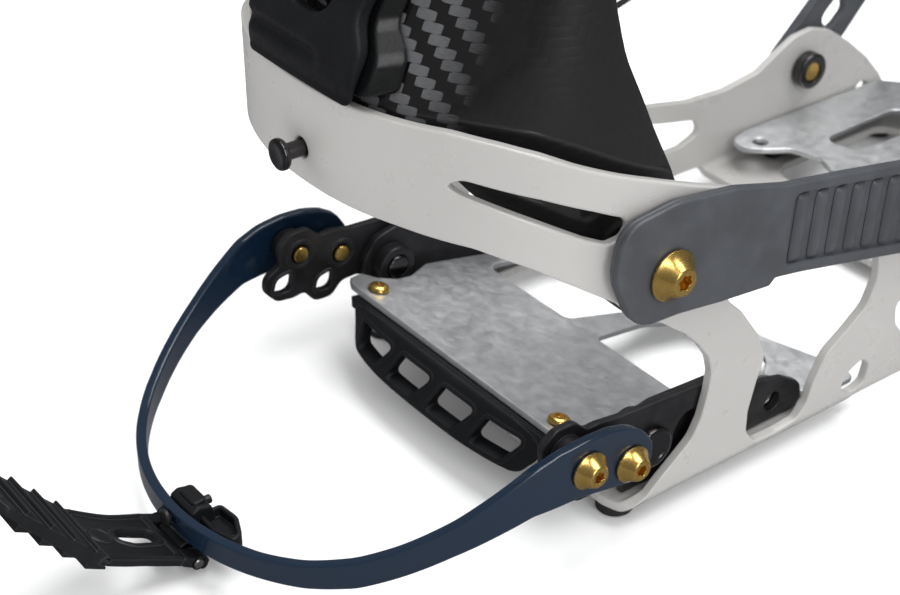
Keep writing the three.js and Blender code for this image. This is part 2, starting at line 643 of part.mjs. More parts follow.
// right half of the plan and the right window, [x, y, radius]
const HEEL_PLATE_HALF = [
  [38.2, RAMP_REAR, 2.5], [41.5, -95.6, 1.5], [42.8, -91.6, 1.5], [39.4, -89.2, 2],
  [37.2, -84.9, 3], [37.6, -80.4, 3], [42.2, -72.6, 3], [42.4, -36, 2], [43.4, -30.2, 2],
  [48.5, -27.0, 2], [48.5, -14.4, 2], [38, -15.6, 6], [24, -19.6, 8],
];
const HEEL_WINDOW = [
  [5.2, -57.6, 2.5], [36.4, -57.8, 5], [37.4, -34, 7], [30.4, -25.4, 5], [7.2, -24.6, 4],
  [3.2, -40, 6],
];
function heelPlate() {
  const plan = (points, radius) => plateXY(outline(points, radius, 2), -5, 25);
  return cut(
    common(plateYZ(polygon(HEEL_PLATE_SIDE), -50, 50), plan(withMirror(HEEL_PLATE_HALF), 2)),
    plan(HEEL_WINDOW, 3),
    plan(mirrored(HEEL_WINDOW), 3),
    rodZ(-5, 25, [PLATE_SCREW_X, PLATE_SCREW_Y], 1.7),
    rodZ(-5, 25, [-PLATE_SCREW_X, PLATE_SCREW_Y], 1.7),
  );
}
// [z, radius], before it leans square to the ramp
const PLATE_SCREW = [
  [-4.6, 0], [-4.6, 1.2], [0.35, 1.2], [0.35, 2.6], [1.0, 2.5], [1.6, 1.6], [1.6, 0.8],
  [0.9, 0.8], [0.9, 0],
];
const plateScrew = () => turnedZ(PLATE_SCREW, [0, 0], 14)
  .rotateX(-Math.atan(RAMP_SLOPE))
  .translate(PLATE_SCREW_X, PLATE_SCREW_Y, 16.33);
add('heel_plate', heelPlate(), FINISH.brightMetal);
addPair('plate_screw', plateScrew(), FINISH.gold);

// ---------- heel pad: sloped grille below the rear edge of the plate ----------
function heelPad() {
  const halfWidth = 38.4;
  const rings = [];
  for (let i = 0; i <= 12; i++) {
    const x = -halfWidth + (2 * halfWidth * i) / 12;
    const side = Math.abs(x) / halfWidth;
    const topY = -99.6 + 2.4 * side ** 4;
    const lowY = -105.4 + 6.5 * side ** 3;
    rings.push([[x, topY, 15.3], [x, lowY, 4.6], [x, lowY + 3.6, 4.4], [x, topY + 4.4, 14.6]]);
  }
  // rear views, [z, x]
  const grilleView = outline([[15.8, 38.3], [4.0, 30.6], [4.0, -30.6], [15.8, -38.3]], 3.5, 3);
  const ledgeView = outline([[15.8, 36.5], [4.0, 33.4], [4.0, -33.4], [15.8, -36.5]], 1, 2);
  // ledge under the ramp
  const rampZ = (y) => 15.35 - RAMP_SLOPE * (y - RAMP_REAR);
  const ledgeSide = polygon([
    [-98.2, 12.6], [-98.2, rampZ(-98.2)], [-86.4, rampZ(-86.4)], [-86.4, 10.6],
  ]);
  const pad = join(
    common(loft(rings), plateZX(grilleView, -110, -90)),
    common(plateYZ(ledgeSide, -36.6, 36.6), plateZX(ledgeView, -110, -80)),
  );
  // slanted openings: [middle, left end of the top edge, left end of the low edge]
  const openings = [
    [-23.2, -6.2, -5.4], [-7.8, -4.3, -7.0], [7.8, -4.3, -7.0], [23.2, -4.3, -7.0],
  ].map(([x, topLeft, lowLeft]) => plateZX(outline([
    [12.6, x + topLeft], [12.6, x + 7.4], [6.2, x + 2.8], [6.2, x + lowLeft],
  ], 1.2, 2), -112, -97.2));
  const screwHole = (x) => rodZ(0, 25, [x, -93.1], 2.4, 12);
  return cut(pad, ...openings, screwHole(PLATE_SCREW_X), screwHole(-PLATE_SCREW_X));
}
add('heel_pad', heelPad(), FINISH.blackPlastic);

// feet under the frame, [z, radius]
const FOOT = [[FOOT_BOTTOM, 0], [FOOT_BOTTOM, 3.7], [-3.3, 4.2], [-0.35, 4.2], [-0.35, 0]];
addPair('foot_pad_rear', turnedZ(FOOT, [43.6, -84.6], 16), FINISH.rubber);
addPair('foot_pad_front', turnedZ(FOOT, [43.6, 98], 16), FINISH.rubber);

// ---------- toe end ----------
// right half of the plate and its right window, [x, y, radius]
const TOE_PLATE_HALF = [
  [14, 46.5], [24, 51], [33, 49], [38, 42], [42, 38.0], [47.5, 39.5], [49.3, 46],
  [49.3, 102, 4], [41, 109.5, 6],
];
const TOE_WINDOW = [[21, 62], [32, 60], [33, 92], [20, 95]];
const TOE_SPACER = [[41.0, 50], [46.6, 50], [46.6, 98], [41.0, 98]];
const toePlate = () => plateXY(outline(withMirror(TOE_PLATE_HALF), 4, 2), 8.5, 10.1, [
  circle([0, 78], 13, 24),
  circle([41.5, 44.8], 2.2, 12),
  circle([-41.5, 44.8], 2.2, 12),
  outline(TOE_WINDOW, 5, 2),
  outline(mirrored(TOE_WINDOW), 5, 2),
]);
add('toe_plate', toePlate(), FINISH.brightMetal);
addPair('toe_spacer', plateXY(outline(TOE_SPACER, 2.6, 3), 2.7, 8.2), FINISH.blackPlastic);
addPair('toe_bolt', coneBolt({
  seat: 55.9, end: 46.6, headR: 4.9, noseR: 2.6, headLength: 3.4, shankR: 2.85,
  socketR: 1.5, place: TOE_BOLT, segments: 16,
}), FINISH.gold);
addPair('toe_nut', sleeve({
  from: 46.2, to: 49.7, boreR: 3.15, outerR: 5.4, chamfer: 0.4, place: TOE_BOLT, segments: 18,
}), FINISH.blackAnodised);

// ---------- ankle ladder, right side: one moulding, arm and toothed tongue ----------
// upright tooth, wide at its root and 1 mm wide at its tip
const ladderTooth = ({ rootX, tipX, y, rootHalf, low, top }) => plateXY(polygon([
  [rootX, y - rootHalf], [tipX, y - 0.5], [tipX, y + 0.5], [rootX, y + rootHalf],
]), low, top);

// outline and the recess in its outer face, [y, z, radius]
const ANKLE_LADDER = [
  [-101.4, 66.4, 11], [-99.8, 77.2, 11], [-86, 78.6, 12], [-70, 76.4], [-55.8, 72.4],
  [-40, 69.7], [-20, 65.9], [12, 59.6], [40, 53.0], [47.6, 49.6, 6], [47.0, 39.4, 6],
  [40, 33.8, 5], [10, 38.2], [-17, 42.8], [-34, 46.6], [-49.7, 50.0], [-57.0, 51.3, 0.5],
  [-58.6, 49.9, 0.5], [-72.7, 51.4], [-84, 53.0, 8], [-95.6, 53.6, 9],
];
const LADDER_RECESS = [
  [-54.4, 53.2], [-49.0, 52.4], [-34, 49.2], [-17, 45.4], [10, 40.9], [40, 36.9],
  [44.2, 41.0], [44.6, 47.8], [39, 50.6], [12, 57.1], [-20, 63.4], [-40, 67.2], [-54.0, 69.8],
];
// limits of the teeth before their end gap, [y, z]
const TEETH_TOP = [[-54, 69.4], [-40, 66.9], [-20, 63.1], [12, 56.8], [39, 50.3]];
const TEETH_LOW = [[-54, 53.4], [-34, 49.6], [-17, 45.8], [10, 41.3], [40, 37.3]];
function ankleLadder() {
  const endGap = 0.6;
  const pitch = 5.7;
  const hole = circle(ANKLE_BOLT, ANKLE_HOLE_R, 20);
  let ladder = plateYZ(outline(ANKLE_LADDER, 14, 3), 55.5, 58.1, [hole]);
  ladder = cut(ladder, plateYZ(outline(LADDER_RECESS, 3, 2), 56.9, 59));
  for (let i = 0; i < 16; i++) {
    const y = -50.6 + i * pitch;
    ladder = join(ladder, ladderTooth({
      rootX: 56.6, tipX: 58.0, y, rootHalf: 1.5,
      low: interpolate(TEETH_LOW, y) + endGap,
      top: interpolate(TEETH_TOP, y) - endGap,
    }));
  }
  return ladder;
}
add('ankle_ladder', ankleLadder(), FINISH.strapPlastic);

// ---------- shared strap parts ----------
// Strap pieces are drawn with Y along the strap from its bolt and Z across it,
// then swung up and moved to the bolt.

// padded strap: crowned section that bows outwards, to the left, and swells in width
function strapPad({ steps, start, length, baseX, bow, height, width, lip }) {
  const rings = [];
  for (let i = 0; i <= steps; i++) {
    const t = i / steps;
    const y = start + length * t;
    const phase = Math.min(1, t * width.stretch + 0.02);
    const half = width.end + width.swell * Math.pow(Math.sin(Math.PI * phase), width.power);
    const x = baseX - bow * Math.sin(Math.PI * t);
    rings.push([
      [x + height * 0.42, y, -half], [x, y, -half - lip],
      [x - height * 0.7, y, -half + 2], [x - height, y, 0], [x - height * 0.7, y, half - 2],
      [x, y, half + lip], [x + height * 0.42, y, half], [x + height * 0.5, y, 0],
    ]);
  }
  return loft(rings);
}

// ratchet buckle: tray with two cheeks, hinge pin and thumb lever
function addBuckle(name, { trayX: x, start, halfWidth, place }) {
  const pinPlace = [x - 6.2, start + 18.5];
  const pinHole = () => rodZ(-20, 20, pinPlace, 1.7, 12);

  const cheekShape = outline([
    [x + 0.4, start + 2], [x - 6, start + 6], [x - 9, start + 13], [x - 9, start + 21],
    [x - 5, start + 25], [x + 0.4, start + 26],
  ], 2, 2);
  const trayShape = outline([
    [start, -halfWidth * 0.8], [start + 30, -halfWidth * 0.95],
    [start + 30, halfWidth * 0.95], [start, halfWidth * 0.8],
  ], 3, 2);
  const windowShape = outline(
    [[start + 6, -5], [start + 13, -5], [start + 13, 5], [start + 6, 5]], 1.5, 2);
  const tray = join(
    plateYZ(trayShape, x - 1.9, x + 0.3),
    ...bothSides(halfWidth - 2.4, halfWidth, (from, to) => plateXY(cheekShape, from, to)),
  );
  const frame = cut(tray, pinHole(), plateYZ(windowShape, x - 4, x + 2));
  add(`${name}_frame`, place(frame), FINISH.gunmetal);

  const pinHalf = halfWidth + 0.6;
  add(`${name}_pin`, place(rodZ(-pinHalf, pinHalf, pinPlace, 1.35, 12)), FINISH.steel);

  const leverHalf = halfWidth - 2.9;
  const leverShape = outline([
    [x - 3.6, start + 16.6], [x - 3.4, start + 20.4], [x - 7.4, start + 21.6],
    [x - 9.6, start + 17], [x - 11.6, start + 2], [x - 14.4, start - 6.5],
    [x - 12.2, start - 7.4], [x - 9.0, start + 2], [x - 7.0, start + 12],
  ], 1.4, 2);
  const lever = cut(plateXY(leverShape, -leverHalf, leverHalf), pinHole());
  add(`${name}_lever`, place(lever), FINISH.gunmetal);
}

// ---------- left ankle strap: arm, padded strap and ratchet buckle ----------
const onAnkle = swung(8, ANKLE_BOLT);
const ANKLE_SCREW = [40, 0];
// along and across the strap, radius
const ANKLE_ARM = [
  [-13.4, 0, 11], [-9, 12.6, 9], [4, 13.0, 6], [28, 11.6, 5], [62, 9.4, 5], [66, 0, 5],
  [62, -9.4, 5], [28, -11.6, 5], [4, -13.0, 6], [-9, -12.6, 9],
];
const ankleArm = () => plateYZ(outline(ANKLE_ARM, 5, 3), -58.1, -55.5, [
  circle([0, 0], ANKLE_HOLE_R, 20), circle(ANKLE_SCREW, 2.1, 12), circle([50, 0], 2.1, 12),
]);
const anklePad = () => cut(strapPad({
  steps: 16, start: 34, length: 98, baseX: -61.8, bow: 6, height: 5.2,
  width: { end: 9, swell: 18, stretch: 1.02, power: 0.55 }, lip: 1.2,
}), rodX(-75, -55, ANKLE_SCREW, 2.0, 12));
// [x, radius]
const ANKLE_PAD_SCREW = [
  [-70.2, 0], [-70.2, 2.8], [-69.8, 3.2], [-68.9, 3.2], [-68.9, 1.6], [-55.0, 1.6],
  [-55.0, 3.0], [-53.9, 2.7], [-53.9, 0],
];
add('ankle_arm', onAnkle(ankleArm()), FINISH.strapPlastic);
add('ankle_pad', onAnkle(anklePad()), FINISH.padding);
add('ankle_pad_screw', onAnkle(turnedX(ANKLE_PAD_SCREW, ANKLE_SCREW, 14)), FINISH.gold);
addBuckle('ankle_buckle', { trayX: -74.8, start: 76, halfWidth: 12.5, place: onAnkle });

// ---------- toe strap ----------
const onToe = swung(42, TOE_BOLT);
const onToeRight = swung(34, TOE_BOLT);
const TOE_STRAP_HOLE_R = 3.2;
const TOE_SCREW = [30.5, 0];
// along and across the strap, radius
const TOE_CONNECTOR = [
  [-9.5, 0, 8], [-6, 9.6, 6], [4, 9.8, 5], [18, 10, 4], [34, 8.6, 4], [36, 0, 4],
  [34, -8.6, 4], [18, -10, 4], [4, -9.8, 5], [-6, -9.6, 6],
];
const TOE_CONNECTOR_SLOT = [[14, 3.2], [23, 3.2], [23, -3.2], [14, -3.2]];
const TOE_LADDER = [
  [-9, 0, 8], [-6, 8.4, 6], [6, 8.6, 5], [76, 6.6, 4], [80, 0, 3], [76, -6.6, 4],
  [6, -8.6, 5], [-6, -8.4, 6],
];
const TOE_LADDER_RECESS = [[16, -6.2], [74, -4.6], [76, 0], [74, 4.6], [16, 6.2]];
const toeConnector = () => plateYZ(outline(TOE_CONNECTOR, 4, 3), -55.4, -53.0, [
  circle([0, 0], TOE_STRAP_HOLE_R, 16), outline(TOE_CONNECTOR_SLOT, 3, 3),
  circle(TOE_SCREW, 1.9, 12),
]);
const toePad = () => cut(strapPad({
  steps: 14, start: 27, length: 74, baseX: -58.6, bow: 4, height: 4.2,
  width: { end: 8, swell: 8, stretch: 1, power: 0.6 }, lip: 1,
}), rodX(-70, -50, TOE_SCREW, 1.9, 12));
// [x, radius]
const TOE_PAD_SCREW = [
  [-66.0, 0], [-66.0, 2.6], [-65.6, 3.0], [-64.8, 3.0], [-64.8, 1.5], [-52.7, 1.5], [-52.7, 0],
];
// plain toothed tongue on the right
function toeLadder() {
  const hole = circle([0, 0], TOE_STRAP_HOLE_R, 16);
  let ladder = plateYZ(outline(TOE_LADDER, 4, 3), 53.0, 55.2, [hole]);
  ladder = cut(ladder, plateYZ(outline(TOE_LADDER_RECESS, 2, 2), 54.3, 56));
  for (let i = 0; i < 12; i++) {
    const half = 5.6 - i * 0.1;
    ladder = join(ladder, ladderTooth({
      rootX: 54.0, tipX: 55.1, y: 19.5 + i * 4.6, rootHalf: 1.2, low: -half, top: half,
    }));
  }
  return ladder;
}
add('toe_connector', onToe(toeConnector()), FINISH.strapPlastic);
add('toe_pad', onToe(toePad()), FINISH.padding);
add('toe_pad_screw', onToe(turnedX(TOE_PAD_SCREW, TOE_SCREW, 14)), FINISH.gold);
addBuckle('toe_buckle', { trayX: -68.2, start: 56, halfWidth: 10.5, place: onToe });
add('toe_ladder', onToeRight(toeLadder()), FINISH.strapPlastic);

// ---------- highback: one curved shell, closed at the rear, with two low wings ----------
// outer half width, [z, x]
const BACK_HALF_WIDTH = [
  [46, 49.6], [80, 49.5], [93, 48.6], [104, 47.2], [118, 45.4], [150, 43.6], [185, 41.5],
  [222, 38],
];
// rear centre and wing edge, [z, y]
const BACK_REAR = [
  [46, -130.0], [93, -130.1], [96, -129.7], [104, -126.2], [112, -122.2], [125, -116.6],
  [150, -108.5], [185, -99.6], [222, -92.5],
];
const BACK_EDGE = [
  [46, -80.5], [62, -78.5], [77, -79], [82, -81.3], [89.6, -85], [99, -88.7], [106, -91.7],
  [118, -93.8], [135, -93.6], [160, -90.5], [190, -85.4], [222, -79.5],
];
// low edge, [girth, z]; girth runs from 0 at the rear centre to 1 at the wing edge
const BACK_LOW = [
  [0, 93], [0.24, 92.6], [0.43, 86], [0.6, 71], [0.75, 60], [0.87, 51.5], [0.955, 47.6],
  [1, 48.4],
];
// [x, y] on the right half at a girth and height; inset is inwards from the outer face
function backPoint(girth, z, inset) {
  const steps = 60;
  const power = 2 / 2.2;
  const halfWidth = interpolate(BACK_HALF_WIDTH, z) - inset;
  const rearY = interpolate(BACK_REAR, z) + inset;
  const edgeY = interpolate(BACK_EDGE, z);
  const bendY = Math.min(edgeY, rearY + 46 - inset - 0.02 * Math.max(0, z - 93));
  const points = [];
  for (let i = 0; i <= steps; i++) {
    const angle = (Math.PI / 2) * (i / steps);
    const behind = i === steps ? 0 : (bendY - rearY) * Math.pow(Math.cos(angle), power);
    points.push([halfWidth * Math.pow(Math.sin(angle), power), bendY - behind]);
  }
  if (edgeY > bendY + 0.01) points.push([halfWidth, edgeY]);
  const lengths = pathLengths(points);
  return pointAlong(points, lengths, girth * lengths[lengths.length - 1]);
}
// layer of the shell between two insets; low and top give z from the girth
function backLayer({ outer, inner, maxGirth, low, top, sideSteps, heightSteps }) {
  const rings = [];
  for (let i = -sideSteps; i <= sideSteps; i++) {
    const girth = (Math.abs(i) / sideSteps) * maxGirth;
    const sign = i < 0 ? -1 : 1;
    const lowZ = low(girth);
    const topZ = top(girth);
    const column = (inset) => Array.from({ length: heightSteps + 1 }, (_, j) => {
      const z = lowZ + ((topZ - lowZ) * j) / heightSteps;
      const [x, y] = backPoint(girth, z, inset);
      return [sign * x, y, z];
    });
    rings.push([...column(outer), ...column(inner).reverse()]);
  }
  return loft(rings, stripCaps);
}

// lean adjuster frame: Y square to the shell's rear, outwards negative; Z up the shell
const onLean = swung(-25.5, [-129.4, 96.6]);
const LEAN_SCREW_Z = 25.5;
const leanScrewHole = () => onLean(rodY(-20, 20, [0, LEAN_SCREW_Z], 1.7, 12));

const highbackShell = () => cut(
  backLayer({
    outer: 0, inner: 2.2, maxGirth: 1, sideSteps: 12, heightSteps: 11,
    low: (girth) => interpolate(BACK_LOW, girth),
    top: (girth) => 222 - 34 * Math.pow(girth, 5),
  }),
  ...bothSides(40, 60, (from, to) => rodX(from, to, ANKLE_BOLT, ANKLE_HOLE_R, 14)),
  leanScrewHole(),
);
function highbackPad() {
  const maxGirth = 0.62;
  const pad = backLayer({
    outer: 3.4, inner: 7.6, maxGirth, sideSteps: 6, heightSteps: 6,
    low: (girth) => 104 + 10 * girth,
    top: (girth) => 213 - 20 * Math.pow(girth / maxGirth, 3),
  });
  return cut(pad, rodY(-140, -90, [0, 119.5], 4.6, 12));
}
add('highback_shell', highbackShell(), FINISH.carbon);
add('highback_pad', highbackPad(), FINISH.padding);

// ---------- lean adjuster: base plate on the shell, block resting on the loop, screw ----------
// outlines in the adjuster frame, [z, x, radius]
const LEAN_BASE = [
  [0.6, -23.6, 3], [0.6, 23.6, 3], [8.6, 23.4, 3], [14.6, 18.6, 4], [24, 19.4, 5],
  [42, 18.6, 5], [42, -18.6, 5], [24, -19.4, 5], [14.6, -18.6, 4], [8.6, -23.4, 3],
];
const LEAN_BLOCK = [
  [-4.5, -18.4, 1], [-4.5, 18.4, 1], [9.4, 18.8, 4], [14.2, 15.2, 4], [23, 16.6, 5],
  [38.5, 15.8, 6], [38.5, -15.8, 6], [23, -16.6, 5], [14.2, -15.2, 4], [9.4, -18.8, 4],
];
const LEAN_WINDOW = [[11.6, -7.6], [11.6, 7.6], [34, 7.0], [34, -7.0]];
const LEAN_GROOVE = [[4.2, -17], [4.2, 7], [6.0, 7], [6.0, -17]];
function leanBase() {
  // room for the shell, with a small gap behind it
  const shellRoom = backLayer({
    outer: -0.55, inner: 18, maxGirth: 0.86, sideSteps: 8, heightSteps: 9,
    low: (girth) => 80 + 6 * girth,
    top: () => 160,
  });
  const belowBase = polygon([[-20, -60], [-20, 60], [0.4, 60], [0.4, -60]]);
  const insideShell = polygon([[-102, 80], [-60, 80], [-60, 150], [-102, 150]]);
  return cut(
    onLean(plateZX(outline(LEAN_BASE, 3, 2), -2.9, 5.5)),
    shellRoom,
    onLean(plateZX(belowBase, -20, 30)),
    leanScrewHole(),
    plateYZ(insideShell, -60, 60),
  );
}
function leanBlock() {
  const block = cut(
    plateZX(outline(LEAN_BLOCK, 3, 2), -8.2, -3.3),
    plateZX(outline(LEAN_WINDOW, 4, 2), -9, -2),
    plateZX(outline(LEAN_GROOVE, 0.8, 2), -9, -7.5),
    rodY(-9, -7.9, [0.7, 9.0], 1.7, 12),
    rodY(-9, -7.9, [-10.7, 9.0], 1.7, 12),
  );
  // flat underside above the loop's top edge, and a trimmed rear
  const underside = polygon([[-40, -160], [40, -160], [40, -100], [-40, -100]]);
  const rear = polygon([[-160, 80], [-133.6, 80], [-134.4, 102.6], [-160, 113]]);
  return cut(onLean(block), plateXY(underside, 60, 96.4), plateYZ(rear, -40, 40));
}
// [y, radius]
const LEAN_SCREW = [
  [-11.2, 0], [-11.2, 3.2], [-10.6, 4.4], [-9.6, 4.8], [-8.6, 4.8], [-8.6, 1.25], [1.0, 1.25],
  [1.0, 0],
];
add('lean_base', leanBase(), FINISH.blackPlastic);
add('lean_block', leanBlock(), FINISH.blackPlastic);
add('lean_screw', onLean(turnedY(LEAN_SCREW, [0, LEAN_SCREW_Z], 16)), FINISH.steel);

for (const mesh of group.children) mesh.geometry.translate(...SHIFT);

export default group;
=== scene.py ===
# A snowboard binding: folded base frame, heel loop, highback, rear lever with its latch, and
# ankle and toe straps. X runs across it (+X is right), +Y points to the toes, +Z is up. Pieces
# are drawn in millimetres about the boot's centre and moved by AHEAD into the scene's frame.
import math

import bmesh
import bpy
import numpy as np
from mathutils import Matrix, Vector
from mathutils.bvhtree import BVHTree
from mathutils.geometry import tessellate_polygon


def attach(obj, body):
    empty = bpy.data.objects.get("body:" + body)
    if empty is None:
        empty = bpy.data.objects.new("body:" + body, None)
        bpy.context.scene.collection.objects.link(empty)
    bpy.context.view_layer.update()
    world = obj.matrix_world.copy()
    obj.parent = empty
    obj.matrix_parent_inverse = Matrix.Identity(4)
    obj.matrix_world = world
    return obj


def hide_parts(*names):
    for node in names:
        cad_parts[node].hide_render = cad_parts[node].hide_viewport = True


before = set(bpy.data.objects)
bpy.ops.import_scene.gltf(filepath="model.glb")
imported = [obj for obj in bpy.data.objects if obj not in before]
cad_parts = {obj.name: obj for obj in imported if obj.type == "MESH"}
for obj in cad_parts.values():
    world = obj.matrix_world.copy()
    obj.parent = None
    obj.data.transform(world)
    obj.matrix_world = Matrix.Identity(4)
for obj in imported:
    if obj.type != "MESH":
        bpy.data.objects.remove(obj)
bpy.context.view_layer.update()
scene = bpy.context.scene

# ---------------------------------------------------------------- driving dimensions (mm)
MM = 0.001
AHEAD = Vector((0.01327, 0.028752, 0.0038))     # metres
FLAT_UV = 0.01                                  # UV units per mm of flat sheet
TOW = 2.1                                       # width of one carbon tow
SHEET = 2.3                                     # thickness of base, heel loop and bail
WALL_OUT = 52.4                                 # outer half width of the base
BEND = 4.2                                      # outer radius of the base's two folds
BASE_FRONT = 108.0
# centres in a side view, (y, z)
STRAP_BOLT = (-87.2, 63.4)
TOE_BOLT = (69.5, 22.9)
PIVOT = (-81.2, 14.9)
BAIL_BOLTS = (-105.0, 23.8), (-93.4, 20.1)      # rear, front
LATCH = (-168.4, -0.4)
LINK_EYE = (-41.2, 7.6)
# hole radii
STRAP_HOLE, TOE_HOLE, PIVOT_HOLE, BAIL_HOLE = 3.4, 3.3, 3.3, 2.35
# strap lines: degrees up from +Y, bolt they start at
ANKLE = (8, STRAP_BOLT)
TOE = (42, TOE_BOLT)
TOE_TONGUE = (34, TOE_BOLT)
LEAN = math.radians(25.5)                       # highback's slope
LEAN_FOOT = (0, -129.4, 96.6)                   # origin of the lean adjuster
LEAN_SCREW_UP = 25.5                            # its screw, up the slope
HEEL_RISE = 2.65                                # underside of the heel plate
RAMP_SLOPE = 0.207                              # heel plate's slope at the pad and screws
PLATE_SCREW = (33.4, -92.6)


# ---------------------------------------------------------------- flat loops
def outline(points, radius=0.0, steps=6):
    """Closed loop with rounded corners; a third number on a point is its own radius."""
    loop = []
    for i, point in enumerate(points):
        corner = np.array(point[:2], float)
        own = point[2] if len(point) > 2 else radius
        if own <= 0:
            loop.append(corner)
            continue
        back = np.array(points[i - 1][:2], float) - corner
        ahead = np.array(points[(i + 1) % len(points)][:2], float) - corner
        back_length, ahead_length = np.hypot(*back), np.hypot(*ahead)
        back, ahead = back / back_length, ahead / ahead_length
        angle = math.acos(max(-1, min(1, float(back @ ahead))))
        if angle > 3.08:                        # all but straight
            loop.append(corner)
            continue
        reach = min(own / math.tan(angle / 2), back_length * 0.49, ahead_length * 0.49)
        start, end = corner + back * reach, corner + ahead * reach
        count = max(2, int(steps * (math.pi - angle) / 1.2 + 1))
        for k in range(count + 1):
            u = k / count
            loop.append(start * (1 - u) ** 2 + corner * 2 * u * (1 - u) + end * u * u)
    following = loop[1:] + loop[:1]
    return np.array([p for p, q in zip(loop, following) if np.hypot(*(p - q)) > 0.04])


def circle(x, y, radius, steps=40):
    angle = 2 * np.pi * np.arange(steps) / steps
    return np.stack([x + radius * np.cos(angle), y + radius * np.sin(angle)], 1)


def counterclockwise(loop):
    x, y = loop[:, 0], loop[:, 1]
    area = 0.5 * float(np.sum(x * np.roll(y, -1) - np.roll(x, -1) * y))
    return loop if area > 0 else loop[::-1]


def subdivide_loop(loop, step):
    points = []
    for start, end in zip(loop, np.roll(loop, -1, 0)):
        count = max(1, int(math.ceil(np.hypot(*(end - start)) / step)))
        points += [start + (end - start) * k / count for k in range(count)]
    return np.array(points)


def unit_rows(vectors):
    return vectors / np.maximum(np.hypot(vectors[:, 0], vectors[:, 1]), 1e-9)[:, None]


def left_of(vectors):
    return np.stack([-vectors[:, 1], vectors[:, 0]], 1)


def offset_loop(loop, distance):
    """Moves a loop to its left."""
    after = left_of(unit_rows(np.roll(loop, -1, 0) - loop))
    before = left_of(unit_rows(loop - np.roll(loop, 1, 0)))
    mitre = unit_rows(before + after)
    return loop + mitre * (distance / np.maximum((mitre * after).sum(1), 0.55))[:, None]


def grow(loop, distance):
    return offset_loop(counterclockwise(loop), -distance)


def both_sides(loop):
    return [loop, loop * np.array([-1, 1])]


def mirror_points(points):
    """The other half of a symmetric outline, in going-round order."""
    return [(-p[0], *p[1:]) for p in points[::-1]]


def moved(points, x, y):
    return [(p[0] + x, p[1] + y, *p[2:]) for p in points]


def interpolate(table, x):
    return float(np.interp(x, [row[0] for row in table], [row[1] for row in table]))


def smooth_table(table, low, high, count, spread):
    """Function through a table of (place, value) with its corners softened."""
    places = np.linspace(low, high, count)
    values = np.interp(places, [row[0] for row in table], [row[1] for row in table])
    kernel = np.hanning(2 * spread + 3)[1:-1]
    kernel /= kernel.sum()
    padded = np.pad(values, len(kernel) // 2, mode="edge")
    softened = np.convolve(padded, kernel, mode="valid")
    return lambda x: float(np.interp(x, places, softened))


# ---------------------------------------------------------------- meshes and objects
def raw_mesh(name, verts, faces):
    mesh = bpy.data.meshes.new(name)
    mesh.from_pydata([tuple(v) for v in verts], [], faces)
    return mesh


def smooth_faces(mesh):
    for face in mesh.polygons:
        face.use_smooth = True


def shade(mesh, smooth_angle=38.0):
    smooth_faces(mesh)
    mesh.set_sharp_from_angle(angle=math.radians(smooth_angle))


def recalc_normals(mesh, merge=None):
    bm = bmesh.new()
    bm.from_mesh(mesh)
    if merge:
        bmesh.ops.remove_doubles(bm, verts=bm.verts, dist=merge)
    bmesh.ops.recalc_face_normals(bm, faces=bm.faces)
    bm.to_mesh(mesh)
    bm.free()


def weight_normals(ob):
    modifier = ob.modifiers.new("weighted", "WEIGHTED_NORMAL")
    modifier.keep_sharp = True
    modifier.weight = 60


def link_object(name, mesh, weighted=True):
    ob = bpy.data.objects.new(name, mesh)
    scene.collection.objects.link(ob)
    if weighted:
        weight_normals(ob)
    return ob


def finish_mesh(name, mesh, smooth_angle=38.0, weighted=True):
    shade(mesh, smooth_angle)
    return link_object(name, mesh, weighted)


def mesh_object(name, verts, faces, smooth_angle=38.0, weighted=True):
    mesh = raw_mesh(name, verts, faces)
    mesh.validate()
    mesh.update()
    return finish_mesh(name, mesh, smooth_angle, weighted)


def evaluated_mesh(ob):
    depsgraph = bpy.context.evaluated_depsgraph_get()
    return bpy.data.meshes.new_from_object(ob.evaluated_get(depsgraph))


def apply_modifiers(ob):
    mesh = evaluated_mesh(ob)
    ob.modifiers.clear()
    ob.data = mesh


def sheet_bmesh(outer, holes, low, high, rim, steps):
    """Flat plate with all its rims rounded."""
    loops = [counterclockwise(outer)] + [counterclockwise(hole)[::-1] for hole in holes]
    upper = []                                  # (inset, height) round one rim
    for k in range(steps + 1):
        angle = (math.pi / 2) * k / steps
        upper.append((rim * (1 - math.cos(angle)), high - rim + rim * math.sin(angle)))
    profile = [(inset, low + high - height) for inset, height in upper[::-1]] + upper
    bm = bmesh.new()
    bottoms, tops = [], []
    for loop in loops:
        rings = []
        for inset, height in profile:
            ring = offset_loop(loop, inset) if inset > 1e-6 else loop
            rings.append([bm.verts.new((p[0], p[1], height)) for p in ring])
        for near, far in zip(rings, rings[1:]):
            for i in range(len(loop)):
                j = (i + 1) % len(loop)
                bm.faces.new((near[i], near[j], far[j], far[i]))
        bottoms.append(rings[0])
        tops.append(rings[-1])
    for rims, flip in ((tops, False), (bottoms, True)):
        flat = [v for ring in rims for v in ring]
        for triangle in tessellate_polygon([[v.co.copy() for v in ring] for ring in rims]):
            corners = [flat[i] for i in triangle]
            try:
                bm.faces.new(corners[::-1] if flip else corners)
            except ValueError:                  # guards against a repeated triangle
                pass
    bmesh.ops.recalc_face_normals(bm, faces=bm.faces)
    return bm


def slice_bmesh(bm, axis, places):
    normal = Vector((0, 0, 0))
    normal[axis] = 1
    for place_on_axis in places:
        point = Vector((0, 0, 0))
        point[axis] = place_on_axis
        bmesh.ops.bisect_plane(bm, geom=bm.verts[:] + bm.edges[:] + bm.faces[:], dist=1e-5,
                               plane_co=point, plane_no=normal)


